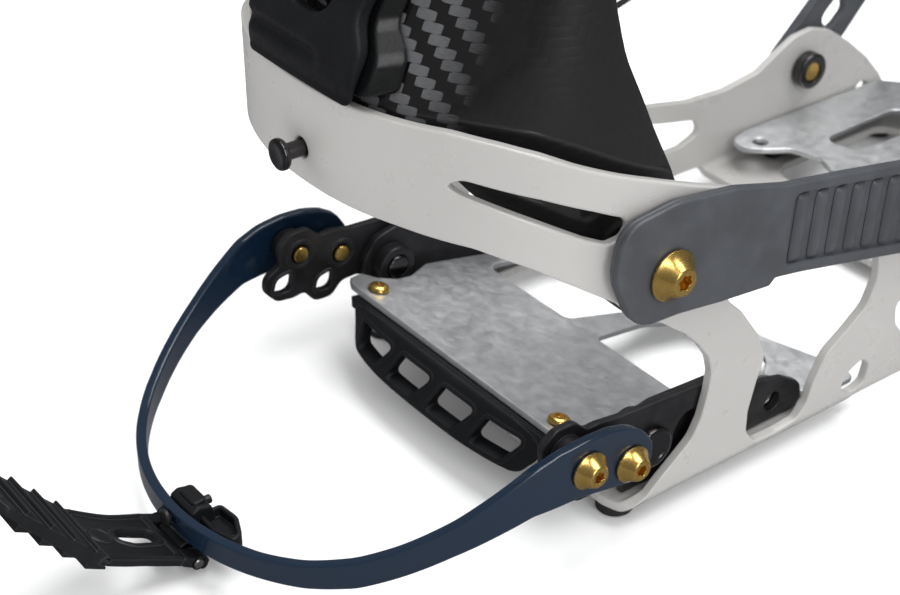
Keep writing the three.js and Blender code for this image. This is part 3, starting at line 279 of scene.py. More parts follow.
def sheet(name, outer, holes, low, high, rim=0.35, to_xyz=None, cuts=(), steps=3,
          smooth_angle=38.0):
    """Plate drawn flat, cut across at (axis, places), then bent into place by to_xyz.

    to_xyz takes the two drawing coordinates and the height, all in mm, to x, y, z in mm.
    """
    bm = sheet_bmesh(outer, holes, low, high, rim, steps)
    for axis, places in cuts:
        slice_bmesh(bm, axis, places)
    drawn = [tuple(v.co) for v in bm.verts]
    for vert, point in zip(bm.verts, drawn):
        vert.co = Vector(to_xyz(*point) if to_xyz else point) * MM
    bmesh.ops.recalc_face_normals(bm, faces=bm.faces)
    mesh = bpy.data.meshes.new(name)
    bm.to_mesh(mesh)
    bm.free()
    layer = mesh.uv_layers.new(name="flat")
    for corner in mesh.loops:
        point = drawn[corner.vertex_index]
        layer.data[corner.index].uv = (point[0] * FLAT_UV, point[1] * FLAT_UV)
    return finish_mesh(name, mesh, smooth_angle)


def part(*args, **options):
    """A sheet that is going to be joined into a larger piece."""
    return sheet("part", *args, **options)


def upright(y, z, x):
    """Plate drawn in (y, z) with its thickness along X."""
    return (x, y, z)


def join_into(name, pieces):
    """Merges closed shells into one object."""
    bm = bmesh.new()
    for piece in pieces:
        bm.from_mesh(piece.data)
    mesh = bpy.data.meshes.new(name)
    bm.to_mesh(mesh)
    bm.free()
    for piece in pieces:
        bpy.data.objects.remove(piece)
    return link_object(name, mesh)


def cut_away(ob, tool):
    ob.modifiers.clear()
    modifier = ob.modifiers.new("cut", "BOOLEAN")
    modifier.operation = "DIFFERENCE"
    modifier.solver = "EXACT"
    modifier.object = tool
    apply_modifiers(ob)
    bpy.data.objects.remove(tool)
    shade(ob.data)
    weight_normals(ob)


def mirrored(ob, name):
    mesh = ob.data.copy()
    bm = bmesh.new()
    bm.from_mesh(mesh)
    for vert in bm.verts:
        vert.co.x = -vert.co.x
    bmesh.ops.reverse_faces(bm, faces=bm.faces)
    bm.to_mesh(mesh)
    bm.free()
    return link_object(name, mesh)


def place(ob, body, node, material):
    """Moves a piece into the scene's frame, ties it to its body, hides the CAD node it replaces
    and gives it its material.
    """
    ob.data.transform(Matrix.Translation(AHEAD))
    ob.data.materials.append(MATERIALS[material])
    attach(ob, body)
    if node:
        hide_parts(node)
    return ob


# ---------------------------------------------------------------- turned and tubular shapes
def rings_of(count, seg, start=0):
    return [range(start + i * seg, start + (i + 1) * seg) for i in range(count)]


def skin_rings(rings):
    """Faces between neighbouring rings of indices; a ring of one is a tip."""
    faces = []
    for near, far in zip(rings, rings[1:]):
        count = max(len(near), len(far))
        for k in range(count):
            j = (k + 1) % count
            if len(near) == 1:
                faces.append((near[0], far[j], far[k]))
            elif len(far) == 1:
                faces.append((near[k], near[j], far[0]))
            else:
                faces.append((near[k], near[j], far[j], far[k]))
    return faces


def lathe(name, profile, seg=64, axis="X", at=(0, 0, 0), side=1, lobes=None, smooth_angle=38.0):
    """Turned piece from (along, radius); side -1 turns it round to point down its axis.

    lobes(ring, angle) gives a factor on the radius, for rings that aren't round.
    """
    verts, rings = [], []
    for i, (along, radius) in enumerate(profile):
        start = len(verts)
        if radius < 1e-6:
            verts.append((along, 0.0, 0.0))
        else:
            for k in range(seg):
                angle = 2 * math.pi * k / seg
                actual = radius * lobes(i, angle) if lobes else radius
                verts.append((along, actual * math.cos(angle), actual * math.sin(angle)))
        rings.append(range(start, len(verts)))
    points = np.array(verts)
    points[:, 0] *= side
    order = {"X": [0, 1, 2], "Y": [1, 0, 2], "Z": [1, 2, 0]}[axis]
    points = (points[:, order] + np.array(at)) * MM
    ob = mesh_object(name, points, skin_rings(rings), smooth_angle)
    recalc_normals(ob.data)
    shade(ob.data, smooth_angle)
    return ob


def ring_around(centre, start, end, radius, seg):
    """Circle of points about a centre, square to the line from start to end."""
    along = (end - start) / np.linalg.norm(end - start)
    sideways = np.array((1.0, 0, 0)) - along * along[0]
    sideways /= np.linalg.norm(sideways)
    other = np.cross(along, sideways)
    points = []
    for k in range(seg):
        angle = 2 * math.pi * k / seg
        points.append(centre + (sideways * math.cos(angle) + other * math.sin(angle)) * radius)
    return points


def two_skins(columns, rows):
    """Index function, faces and border cells of two facing grids whose points alternate."""
    def index(i, j, skin):
        return 2 * (i * rows + j) + skin
    faces = []
    for i in range(columns - 1):
        for j in range(rows - 1):
            cell = (i, j), (i + 1, j), (i + 1, j + 1), (i, j + 1)
            faces.append(tuple(index(*corner, 0) for corner in cell))
            faces.append(tuple(index(*corner, 1) for corner in cell[:1] + cell[:0:-1]))
    border = [(i, 0) for i in range(columns)] + [(columns - 1, j) for j in range(1, rows)]
    border += [(i, rows - 1) for i in range(columns - 2, -1, -1)]
    border += [(0, j) for j in range(rows - 2, 0, -1)]
    return index, faces, border


# ---------------------------------------------------------------- material helpers
SHADER_INPUTS = {
    "color": "Base Color", "rough": "Roughness", "metal": "Metallic", "ior": "IOR",
    "coat": "Coat Weight", "coat_rough": "Coat Roughness", "spec": "Specular IOR Level",
    "sheen": "Sheen Weight", "sheen_rough": "Sheen Roughness", "aniso": "Anisotropic",
    "normal": "Normal", "coat_normal": "Coat Normal"}
MIDDLE = (0.3, 0.7)                             # range where noise values mostly lie


def tint(color, factor):
    return tuple(x * factor for x in color)


class Material:
    """A node material with small helpers. Object coordinates are scaled to millimetres."""

    def __init__(self, name):
        self.material = bpy.data.materials.new(name)
        self.material.use_nodes = True
        self.tree = self.material.node_tree
        self.tree.nodes.clear()
        output = self.node("ShaderNodeOutputMaterial")
        self.shader = self.node("ShaderNodeBsdfPrincipled")
        self.link(self.shader.outputs[0], output.inputs[0])
        coordinates = self.node("ShaderNodeTexCoord")
        self.position = self.scaled((1000, 1000, 1000), coordinates.outputs["Object"])

    def node(self, kind, **settings):
        node = self.tree.nodes.new(kind)
        for key, value in settings.items():
            setattr(node, key, value)
        return node

    def link(self, output, socket):
        self.tree.links.new(output, socket)

    def plug(self, socket, value):
        """Links a socket, or sets it; a tuple is a colour."""
        if isinstance(value, bpy.types.NodeSocket):
            self.link(value, socket)
        else:
            socket.default_value = (*value, 1) if isinstance(value, tuple) else value

    def finish(self, **inputs):
        for key, value in inputs.items():
            self.plug(self.shader.inputs[SHADER_INPUTS[key]], value)
        return self.material

    def calc(self, operation, *values, clamp=False):
        node = self.node("ShaderNodeMath", operation=operation, use_clamp=clamp)
        for socket, value in zip(node.inputs, values):
            self.plug(socket, value)
        return node.outputs[0]

    def mul(self, one, other, clamp=False):
        return self.calc("MULTIPLY", one, other, clamp=clamp)

    def add(self, one, other):
        return self.calc("ADD", one, other)

    def sub(self, one, other, clamp=False):
        return self.calc("SUBTRACT", one, other, clamp=clamp)

    def scaled(self, scale, vec=None):
        node = self.node("ShaderNodeMapping")
        node.inputs["Scale"].default_value = scale
        self.link(vec or self.position, node.inputs[0])
        return node.outputs[0]

    def split(self, vec):
        node = self.node("ShaderNodeSeparateXYZ")
        self.link(vec, node.inputs[0])
        return node.outputs

    def noise(self, scale, detail=4, rough=0.5, vec=None, distortion=0.0, output="Fac"):
        node = self.node("ShaderNodeTexNoise")
        node.inputs["Scale"].default_value = scale
        node.inputs["Detail"].default_value = detail
        node.inputs["Roughness"].default_value = rough
        node.inputs["Distortion"].default_value = distortion
        self.link(vec or self.position, node.inputs["Vector"])
        return node.outputs[output]

    def voronoi(self, scale, vec=None, feature="F1", output="Distance"):
        node = self.node("ShaderNodeTexVoronoi", feature=feature)
        node.inputs["Scale"].default_value = scale
        self.link(vec or self.position, node.inputs["Vector"])
        return node.outputs[output]

    def ramp(self, value, stops):
        """stops: (position, colour)."""
        node = self.node("ShaderNodeValToRGB")
        while len(node.color_ramp.elements) < len(stops):
            node.color_ramp.elements.new(0.5)
        for element, (position, color) in zip(node.color_ramp.elements, stops):
            element.position = position
            element.color = (*color, 1)
        self.link(value, node.inputs[0])
        return node.outputs[0]

    def remap(self, value, source=MIDDLE, target=(0, 1)):
        node = self.node("ShaderNodeMapRange")
        self.link(value, node.inputs[0])
        for i, number in enumerate((*source, *target)):
            node.inputs[i + 1].default_value = number
        return node.outputs[0]

    def mix(self, factor, one, other):
        node = self.node("ShaderNodeMix", data_type="RGBA")
        for i, value in ((0, factor), (6, one), (7, other)):
            self.plug(node.inputs[i], value)
        return node.outputs[2]

    def bevel(self, radius, samples=4):
        node = self.node("ShaderNodeBevel", samples=samples)
        node.inputs["Radius"].default_value = radius * MM
        return node.outputs[0]

    def bump(self, height, strength, distance, over=None):
        """Bump of a distance in mm, on top of another normal."""
        node = self.node("ShaderNodeBump")
        node.inputs["Strength"].default_value = strength
        node.inputs["Distance"].default_value = distance * MM
        self.link(height, node.inputs["Height"])
        if over:
            self.link(over, node.inputs["Normal"])
        return node.outputs[0]

    def edge(self, radius, low=0.02, high=0.3):
        """1 along edges, 0 on faces; it masks edge wear and painted edge highlights."""
        rounded = self.bevel(radius, samples=6)
        geometry = self.node("ShaderNodeNewGeometry")
        dot = self.node("ShaderNodeVectorMath", operation="DOT_PRODUCT")
        self.link(rounded, dot.inputs[0])
        self.link(geometry.outputs["Normal"], dot.inputs[1])
        flatness = self.remap(dot.outputs["Value"], (1 - high, 1 - low))
        return self.sub(1.0, flatness, clamp=True)

    # lightens the colour towards the edges: partly edge wear, partly painted edge highlight
    def wear_and_highlight(self, color, edge_color, amount, radius, low=0.02):
        return self.mix(self.mul(self.edge(radius, low), amount), color, edge_color)

    def dusty(self, color, dust_color, amount, cells, size, patches, patch_range):
        """Specks, only inside soft patches."""
        specks = self.remap(self.voronoi(cells), (0.0, size), (1, 0))
        where = self.remap(self.noise(patches, detail=2), patch_range)
        return self.mix(self.mul(self.mul(specks, where, clamp=True), amount), color, dust_color)


# ---------------------------------------------------------------- materials
def paint(name, base, edge, speck, rough, peel, edge_wear_and_highlight, chip_wear, coat, bevel):
    m = Material(name)
    cloud = m.remap(m.noise(scale=0.035, detail=3), (0.35, 0.65))
    color = m.mix(cloud, tint(base, 0.98), tint(base, 1.02))
    # edges lightened towards the edge colour: partly wear, partly painted edge highlight
    color = m.wear_and_highlight(color, edge, edge_wear_and_highlight, radius=0.45, low=0.01)
    # small rubbed chips, only on edges
    spots = m.remap(m.noise(scale=0.8, detail=5, rough=0.7), (0.62, 0.70))
    chips = m.mul(m.edge(radius=0.5, low=0.06, high=0.35), spots, clamp=True)
    color = m.mix(m.mul(chips, chip_wear), color, tint(edge, 1.25))
    color = m.dusty(color, speck, amount=0.0, cells=0.5, size=0.06, patches=0.12,
                    patch_range=(0.60, 0.66))
    normal = m.bump(m.noise(scale=1.6, detail=2, rough=0.4), strength=peel, distance=0.05,
                    over=m.bevel(bevel) if bevel else None)
    normal = m.bump(m.noise(scale=9.0, detail=3), strength=peel * 0.6, distance=0.02, over=normal)
    gloss = m.remap(m.noise(scale=0.12, detail=5, rough=0.65),
                    target=(rough * 0.82, rough * 1.25))
    return m.finish(color=color, rough=gloss, coat=coat, coat_rough=0.08, ior=1.5, normal=normal)


def turned_gold(name, axis):
    """Grain is squeezed along one axis: 0 for X, 2 for Z."""
    m = Material(name)

    def squeezed(along, across):
        scale = [across] * 3
        scale[axis] = along
        return m.scaled(scale)
    coarse = m.noise(scale=0.9, detail=6, rough=0.65, vec=squeezed(along=9, across=0.7))
    fine = m.noise(scale=3.0, detail=4, rough=0.6, vec=squeezed(along=11, across=0.5))
    color = m.mix(m.remap(coarse), (0.76, 0.47, 0.11), (0.95, 0.67, 0.22))
    # lighter gold edges: partly wear, partly painted edge highlight
    color = m.wear_and_highlight(color, (1.0, 0.83, 0.46), amount=0.6, radius=0.22)
    stain = m.remap(m.noise(scale=0.35, detail=3), (0.55, 0.75), (0, 0.35))
    color = m.mix(stain, color, (0.50, 0.27, 0.05))
    return m.finish(color=color, metal=1.0, rough=m.remap(fine, target=(0.17, 0.32)), aniso=0.45,
                    normal=m.bump(fine, strength=0.10, distance=0.03, over=m.bevel(0.12)))


def black_metal(name):
    base, rough = (0.018, 0.018, 0.020), 0.38
    m = Material(name)
    color = m.mix(m.remap(m.noise(scale=0.18), (0.35, 0.7)), base, tint(base, 1.9))
    # lighter edges: partly wear, partly painted edge highlight
    color = m.wear_and_highlight(color, (0.20, 0.20, 0.21), amount=0.45, radius=0.35)
    color = m.dusty(color, (0.4, 0.4, 0.4), amount=0.35, cells=1.3, size=0.08, patches=0.4,
                    patch_range=(0.55, 0.62))
    gloss = m.remap(m.noise(scale=0.5, detail=6, rough=0.7), target=(rough * 0.8, rough * 1.3))
    normal = m.bump(m.noise(scale=5.0, detail=3), strength=0.06, distance=0.02, over=m.bevel(0.3))
    return m.finish(color=color, metal=0.55, rough=gloss, coat=0.15, coat_rough=0.2, normal=normal)


def bright_plate(name):
    """Rolled bright sheet: mottled crystals, faint rolling lines, smudges."""
    m = Material(name)
    cells = m.voronoi(scale=0.55, vec=m.scaled((1, 1, 0.3)), output="Color")
    channels = m.node("ShaderNodeSeparateColor")
    m.link(cells, channels.inputs[0])
    mottle = m.noise(scale=0.30, detail=8, rough=0.66, distortion=0.5)
    rolling = m.noise(scale=0.6, detail=4, rough=0.6, vec=m.scaled((0.06, 1.6, 1)))
    tone = m.add(m.mul(channels.outputs[0], 0.16), m.mul(mottle, 0.9))
    color = m.ramp(tone, [(0.28, (0.66, 0.675, 0.69)), (0.52, (0.73, 0.745, 0.76)),
                          (0.78, (0.80, 0.815, 0.83))])
    smudge = m.remap(m.noise(scale=0.5, detail=5, rough=0.7), (0.6, 0.75), (0, 0.15))
    color = m.mix(smudge, color, (0.42, 0.43, 0.45))
    # lighter edges: partly wear, partly painted edge highlight
    color = m.wear_and_highlight(color, (0.86, 0.87, 0.88), amount=0.6, radius=0.4)
    lines = m.noise(scale=2.4, detail=2, vec=m.scaled((0.03, 2.2, 1)))
    color = m.mix(m.remap(lines, (0.66, 0.70), (0, 0.25)), color, (0.75, 0.76, 0.77))
    gloss = m.remap(m.add(mottle, m.mul(rolling, 0.3)), (0.4, 0.95), (0.30, 0.50))
    normal = m.bump(mottle, strength=0.10, distance=0.25, over=m.bevel(0.25))
    normal = m.bump(m.noise(scale=3.5, rough=0.6), strength=0.06, distance=0.02, over=normal)
    return m.finish(color=color, metal=0.92, rough=gloss, aniso=0.25, normal=normal)


def plastic(name, base, rough=0.5, grain=0.22, scale=5.0, edge=None, edge_wear_and_highlight=0.3, bevel=0.35,
            beaded=False, spec=0.5):
    m = Material(name)
    color = m.mix(m.remap(m.noise(scale=0.12), (0.35, 0.7)), tint(base, 0.86), tint(base, 1.16))
    # lighter edges: partly wear, partly painted edge highlight
    if edge:
        color = m.wear_and_highlight(color, edge, edge_wear_and_highlight, radius=0.45)
    color = m.dusty(color, (0.3, 0.3, 0.3), amount=0.12, cells=1.1, size=0.07, patches=0.3,
                    patch_range=(0.56, 0.64))
    gloss = m.remap(m.noise(scale=0.6, detail=5, rough=0.65),
                    target=(rough * 0.86, rough * 1.16))
    if beaded:
        beads = m.sub(1.0, m.voronoi(scale, feature="SMOOTH_F1"))
        normal = m.bump(beads, strength=grain, distance=0.10, over=m.bevel(bevel))
        normal = m.bump(m.noise(scale * 2.2, detail=3), strength=grain * 0.4, distance=0.03,
                        over=normal)
    else:
        normal = m.bump(m.noise(scale, detail=5, rough=0.65), strength=grain, distance=0.04,
                        over=m.bevel(bevel))
    return m.finish(color=color, rough=gloss, coat=0.0, coat_rough=0.15, spec=spec, normal=normal)


def bare_steel(name):
    tone, rough = 0.42, 0.3
    m = Material(name)
    grain = m.noise(scale=2.2, detail=5, rough=0.6, vec=m.scaled((6, 0.6, 0.6)))
    color = m.mix(m.remap(grain), (tone * 0.8,) * 3, (tone * 1.2,) * 3)
    # lighter edges: partly wear, partly painted edge highlight
    color = m.wear_and_highlight(color, (0.85, 0.85, 0.86), amount=0.5, radius=0.25)
    gloss = m.remap(grain, target=(rough * 0.8, rough * 1.3))
    return m.finish(color=color, metal=1.0, rough=gloss, aniso=0.3,
                    normal=m.bump(grain, strength=0.08, distance=0.02, over=m.bevel(0.15)))


def gunmetal(name):
    """Dark plated turned metal with a clear reflection."""
    m = Material(name)
    grain = m.noise(scale=2.6, detail=5, rough=0.6, vec=m.scaled((0.6, 8, 0.6)))
    color = m.mix(m.remap(grain), (0.055, 0.052, 0.055), (0.12, 0.115, 0.12))
    # lighter edges: partly wear, partly painted edge highlight
    color = m.wear_and_highlight(color, (0.5, 0.5, 0.52), amount=0.6, radius=0.2)
    return m.finish(color=color, metal=1.0, rough=m.remap(grain, target=(0.14, 0.28)),
                    normal=m.bump(grain, strength=0.05, distance=0.02, over=m.bevel(0.15)))


def carbon(name):
    """Clear coated 2x2 twill. Uses the UV map 'weave', in units of one tow."""
    m = Material(name)
    weave = m.node("ShaderNodeUVMap", uv_map="weave").outputs[0]
    # slight wander of the tows
    wander = m.noise(scale=0.12, detail=1, vec=weave, output="Color")
    shifted = m.node("ShaderNodeVectorMath", operation="MULTIPLY_ADD")
    m.link(wander, shifted.inputs[0])
    shifted.inputs[1].default_value = (0.35, 0.35, 0)
    m.link(weave, shifted.inputs[2])
    shifted = shifted.outputs[0]
    across, up = m.split(shifted)[:2]
    column, row = m.calc("FLOOR", across), m.calc("FLOOR", up)
    # the warp is on top where (column + row) mod 4 is 0 or 1
    warp = m.calc("LESS_THAN", m.calc("FLOORED_MODULO", m.add(column, row), 4.0), 1.5)

    def choose(on_warp, on_weft):
        return m.add(m.mul(warp, on_warp), m.mul(m.sub(1.0, warp), on_weft))

    def crown(place_across):
        """Rounded section of one tow."""
        from_middle = m.mul(m.sub(m.calc("FRACT", place_across), 0.5), 2.0)
        return m.sub(1.0, m.calc("POWER", m.calc("ABSOLUTE", from_middle), 2.4))

    def dip(along):
        """A tow dips at both ends of its run over two others."""
        phase = m.calc("DIVIDE", m.calc("FLOORED_MODULO", along, 4.0), 2.0)
        return m.calc("SINE", m.mul(m.calc("MINIMUM", phase, 1.0), math.pi))

    def filaments(scale):
        return m.noise(scale=1.0, detail=3, rough=0.6, vec=m.scaled(scale, shifted))
    rounded = choose(crown(across), crown(up))
    dips = choose(dip(m.add(up, column)), dip(m.add(m.add(across, row), -2.0)))
    height = m.add(m.mul(rounded, 0.55), m.mul(dips, 0.45))
    threads = choose(filaments((26, 1.2, 1)), filaments((1.2, 26, 1)))
    # the two directions catch the light differently
    value = m.mul(choose(0.10, 0.92), m.remap(height, (0.06, 0.42), (0.20, 1.1)))
    value = m.mul(value, m.remap(threads, target=(0.65, 1.25)))
    # painted shade: the weave's colour is darkened towards the glossy wings, where the light no
    # longer picks out the tows; it reads best in the middle
    from_centre = m.mul(m.calc("ABSOLUTE", m.split(weave)[0]), TOW)
    value = m.mul(value, m.remap(from_centre, (26.0, 40.0), (1.0, 0.04)))
    color = m.ramp(value, [(0.0, (0.0015, 0.0015, 0.002)), (0.25, (0.003, 0.003, 0.0035)),
                           (0.5, (0.040, 0.041, 0.045)), (1.0, (0.105, 0.107, 0.114))])
    coat_normal = m.bump(m.noise(scale=0.07, detail=3), strength=0.06, distance=0.3,
                         over=m.bevel(0.6))
    return m.finish(color=color, metal=0.0, rough=m.add(0.30, m.mul(threads, 0.15)), coat=1.0,
                    coat_rough=0.035, ior=1.5, coat_normal=coat_normal,
                    normal=m.bump(height, strength=0.35, distance=0.16))


def fabric(name):
    """Plain woven cover with fine yarns and fuzz, in object space so it needs no UVs."""
    base = (0.019, 0.020, 0.023)
    m = Material(name)
    turned = m.node("ShaderNodeMapping")
    turned.inputs["Rotation"].default_value = [math.radians(angle) for angle in (12, 4, 45)]
    m.link(m.position, turned.inputs[0])
    waves = []
    for direction in "XYZ":
        wave = m.node("ShaderNodeTexWave", wave_type="BANDS", bands_direction=direction,
                      wave_profile="SIN")
        wave.inputs["Scale"].default_value = 1.15
        wave.inputs["Distortion"].default_value = 0.9
        wave.inputs["Detail"].default_value = 2
        wave.inputs["Detail Scale"].default_value = 2.0
        m.link(turned.outputs[0], wave.inputs["Vector"])
        waves.append(wave.outputs["Fac"])
    yarns = m.calc("MAXIMUM", m.mul(waves[0], waves[1]), m.mul(waves[1], waves[2]))
    fuzz = m.noise(scale=6.0, detail=5, rough=0.7)
    color = m.mix(m.remap(yarns, (0.1, 0.8)), tint(base, 0.45), tint(base, 1.5))
    faded = m.remap(m.noise(scale=0.08), (0.4, 0.7), (0, 0.5))
    color = m.mix(faded, color, tint(base, 0.75))
    normal = m.bump(yarns, strength=0.55, distance=0.18)
    normal = m.bump(fuzz, strength=0.35, distance=0.08, over=normal)
    return m.finish(color=color, rough=0.9, sheen=0.5, sheen_rough=0.5, spec=0.25, normal=normal)


def rubber(name):
    m = Material(name)
    color = m.mix(m.noise(scale=0.5, detail=5, rough=0.7), (0.010, 0.010, 0.011),
                  (0.030, 0.030, 0.031))
    normal = m.bump(m.noise(scale=7.0, detail=5, rough=0.7), strength=0.35, distance=0.06,
                    over=m.bevel(0.4))
    return m.finish(color=color, rough=m.remap(m.noise(scale=2), target=(0.6, 0.85)),
                    normal=normal)


def pale_floor(name):
    m = Material(name)
    color = m.mix(m.noise(scale=0.004, detail=3), (0.93, 0.935, 0.94), (0.955, 0.957, 0.96))
    ray = m.node("ShaderNodeLightPath")
    # dark in reflections, as in a flagged studio
    color = m.mix(ray.outputs["Is Glossy Ray"], color, (0.14, 0.14, 0.145))
    gloss = m.remap(m.noise(scale=0.02, detail=3), target=(0.55, 0.7))
    return m.finish(color=color, rough=gloss, spec=0.2)


MATERIALS = {
    "frame": paint("frame_gloss", base=(0.415, 0.407, 0.395), edge=(0.50, 0.495, 0.48),
                   speck=(0.52, 0.52, 0.505), rough=0.30, peel=0.02, edge_wear_and_highlight=0.0,
                   chip_wear=0.0, coat=0.5, bevel=0),
    # navy: its light blue edge colour paints the highlights along the band's edges; the chips are
    # paint wear
    "navy": paint("navy_gloss", base=(0.004, 0.014, 0.032), edge=(0.10, 0.19, 0.29),
                  speck=(0.25, 0.30, 0.35), rough=0.2, peel=0.035, edge_wear_and_highlight=0.8,
                  chip_wear=0.45, coat=0.8, bevel=0.3),
    "gold": turned_gold("gold_turned", axis=0),
    "gold_z": turned_gold("gold_turned_z", axis=2),
    "black": black_metal("black_satin_metal"),
    "gun": gunmetal("gunmetal"),
    "steel": bare_steel("bare_steel"),
    "plate": bright_plate("bright_sheet"),
    "strap": plastic("strap_moulded", base=(0.056, 0.060, 0.068), spec=0.45, rough=0.40,
                     grain=0.20, scale=4.0, edge=(0.11, 0.115, 0.12), edge_wear_and_highlight=0.35, bevel=0.3),
    "bead": plastic("bead_textured_plastic", base=(0.006, 0.0065, 0.008), spec=0.3, rough=0.52,
                    grain=0.65, scale=1.6, edge=(0.06, 0.063, 0.068), beaded=True),
    "pad": plastic("grille_plastic", base=(0.006, 0.0065, 0.008), spec=0.32, rough=0.45,
                   grain=0.3, scale=2.8, edge=(0.08, 0.083, 0.088), edge_wear_and_highlight=0.35),
    "latch": plastic("latch_plastic", base=(0.0085, 0.009, 0.0105), spec=0.34, rough=0.40,
                     grain=0.28, scale=3.0, edge=(0.10, 0.103, 0.108), edge_wear_and_highlight=0.4),
    "smooth": plastic("smooth_black_plastic", base=(0.004, 0.0045, 0.005), spec=0.35,
                      rough=0.28, grain=0.08, scale=3.0, edge=(0.1, 0.1, 0.1)),
    "rubber": rubber("rubber"),
    "carbon": carbon("carbon_twill"),
    "fabric": fabric("woven_cover"),
    "piping": plastic("edge_binding", base=(0.016, 0.017, 0.019), rough=0.7, grain=0.5,
                      scale=6.0),
    "thread": plastic("thread", base=(0.10, 0.105, 0.115), rough=0.8, grain=0.4, scale=9.0),
}

# ---------------------------------------------------------------- base frame: one folded sheet
FOLD_START = WALL_OUT - BEND                    # distances along the sheet from its middle
FOLD_END = FOLD_START + BEND * math.pi / 2

# free edge of the wall, rear to front: (y, z)
WALL_EDGE = [
    (-88.1, 1.2), (-83.7, 3.7), (-79.7, 7.1), (-75.6, 10.1), (-71.2, 13.6), (-69.0, 18),
    (-67.6, 24), (-67.1, 28.6), (-68.2, 33), (-71.3, 37.3), (-75.8, 42), (-84, 48.4),
    (-91, 52.2), (-96, 57.5), (-97.2, 64), (-94, 70.5), (-88, 72.8), (-79, 71.6), (-68, 67.6),
    (-55, 63.4), (-40, 59.4), (-25, 56.2), (-14, 52.4), (-7.2, 45), (-4.6, 37), (-2.5, 31.4),
    (4, 29.0), (12, 27.6), (23.8, 25.2), (38, 24.6), (50.8, 26.4), (58.3, 30.6), (64.5, 33.6),
    (72, 34.4), (79, 32.2), (88, 26.2), (97.1, 18.8), (104, 11.5), (BASE_FRONT, 5.5)]
# windows in each wall: (corner radius, [(y, z[, own radius])])
WALL_WINDOWS = [
    (6, [(-65.2, 46.7), (-59.7, 41.4), (-53.8, 33.3), (-50.8, 27.0), (-52.7, 21), (-54.5, 13.5),
         (-54.4, 8.0, 3), (-51.5, 3.9, 3), (-44.2, 3.3, 3), (-38.2, 4.2, 3), (-35.3, 7.4, 4),
         (-34.0, 12.0), (-30.6, 18.9), (-24.7, 22.7), (-19.0, 27.0), (-16.4, 33.5),
         (-17.0, 40.5, 4), (-24, 45.6), (-40, 49.6), (-56, 53.4), (-63, 52.4, 3)]),
    (4, [(-8.4, 24.6, 3), (-7.4, 18), (-3.5, 12.8), (6, 11.4), (22, 11.6), (29, 14.2),
         (27.4, 18.6), (14, 21.4), (0, 25.4)]),
    (2.4, [(-24.3, 6.8), (-21.6, 10.5), (-17.6, 12.3), (-14.9, 9.7), (-15.9, 5.3),
           (-20.7, 3.3)])]


def along_sheet(z):
    """Distance from the sheet's middle to a height on the wall's outer face."""
    if z >= BEND:
        return FOLD_END + z - BEND
    return FOLD_START + BEND * math.acos(max(-1.0, min(1.0, 1 - max(z, 0) / BEND)))


def fold(along, y, depth):
    distance, sign = abs(along), (1 if along >= 0 else -1)
    if distance <= FOLD_START:
        return (along, y, depth)
    if distance <= FOLD_END:
        angle = (distance - FOLD_START) / BEND
        radius = BEND - depth
        return (sign * (FOLD_START + radius * math.sin(angle)), y,
                BEND - radius * math.cos(angle))
    return (sign * (WALL_OUT - depth), y, BEND + distance - FOLD_END)


def build_base():
    inboard = FOLD_START - 3                    # where the end edges turn across the floor
    right = [(inboard, -90.0)] + [(along_sheet(z), y) for y, z in WALL_EDGE]
    right.append((inboard, BASE_FRONT))
    holes = []
    for radius, points in WALL_WINDOWS:
        flat = [(along_sheet(p[1]), p[0], *p[2:]) for p in points]
        holes += both_sides(outline(flat, radius))
    for (y, z), radius in ((STRAP_BOLT, STRAP_HOLE), (TOE_BOLT, TOE_HOLE), ((96.5, 8.2), 2.6)):
        holes += both_sides(circle(along_sheet(z), y, radius, 32))
    # floor openings: middle one reaches into both folds
    reach = along_sheet(2.35)
    holes.append(outline([(-reach, -20), (reach, -20), (reach, 31), (-reach, 31)], 2.2, 5))
    holes.append(outline([(-37, -64), (37, -64), (40, -60), (40, -28), (34, -22), (-34, -22),
                          (-40, -28), (-40, -60)], 5))
    holes.append(outline([(-34, 46), (34, 46), (38, 52), (38, 92), (24, 99), (-24, 99),
                          (-38, 92), (-38, 52)], 6))
    arcs = [FOLD_START + (FOLD_END - FOLD_START) * k / 7 for k in range(8)]
    return sheet("base_frame_sheet", outline(right + mirror_points(right), 6.0), holes,
                 0.0, SHEET, 0.42, fold, [(0, [-a for a in arcs] + arcs)])


# ---------------------------------------------------------------- bands bent along a plan curve
class PlanCurve:
    """Right half of a U seen from above: superellipse from the rear, then a straight side."""

    def __init__(self, half_width, depth, power, straight_y, end_y):
        angle = np.linspace(0, math.pi / 2, 1600)
        x = half_width * np.sin(angle) ** (2 / power)
        y = straight_y - depth * np.cos(angle) ** (2 / power)
        y[-1] = straight_y
        straight = np.linspace(straight_y, end_y, 60)[1:]
        self.x = np.concatenate([x, np.full(len(straight), half_width)])
        self.y = np.concatenate([y, straight])
        steps = np.hypot(np.diff(self.x), np.diff(self.y))
        self.arc = np.concatenate([[0], np.cumsum(steps)])
        self.length = float(self.arc[-1])
        # smooth tangents on an even spacing
        self.even = np.linspace(0, self.length, 500)
        tangent_x = np.gradient(np.interp(self.even, self.arc, self.x), self.even)
        tangent_y = np.gradient(np.interp(self.even, self.arc, self.y), self.even)
        tangent_x[0], tangent_y[0] = 1.0, 0.0
        size = np.hypot(tangent_x, tangent_y)
        self.tangent_x, self.tangent_y = tangent_x / size, tangent_y / size

    def bend(self, along, z, depth):
        """Flat band to space; depth goes inwards."""
        arc, sign = min(abs(along), self.length), (1 if along >= 0 else -1)
        x, y = np.interp(arc, self.arc, self.x), np.interp(arc, self.arc, self.y)
        tangent_x = np.interp(arc, self.even, self.tangent_x)
        tangent_y = np.interp(arc, self.even, self.tangent_y)
        return (sign * (x - tangent_y * depth), y + tangent_x * depth + (abs(along) - arc), z)

    def arc_at(self, y):
        return float(np.interp(y, self.y, self.arc))

    def bolt_holes(self, bolt, radius, steps):
        return both_sides(circle(self.arc_at(bolt[0]), bolt[1], radius, steps))


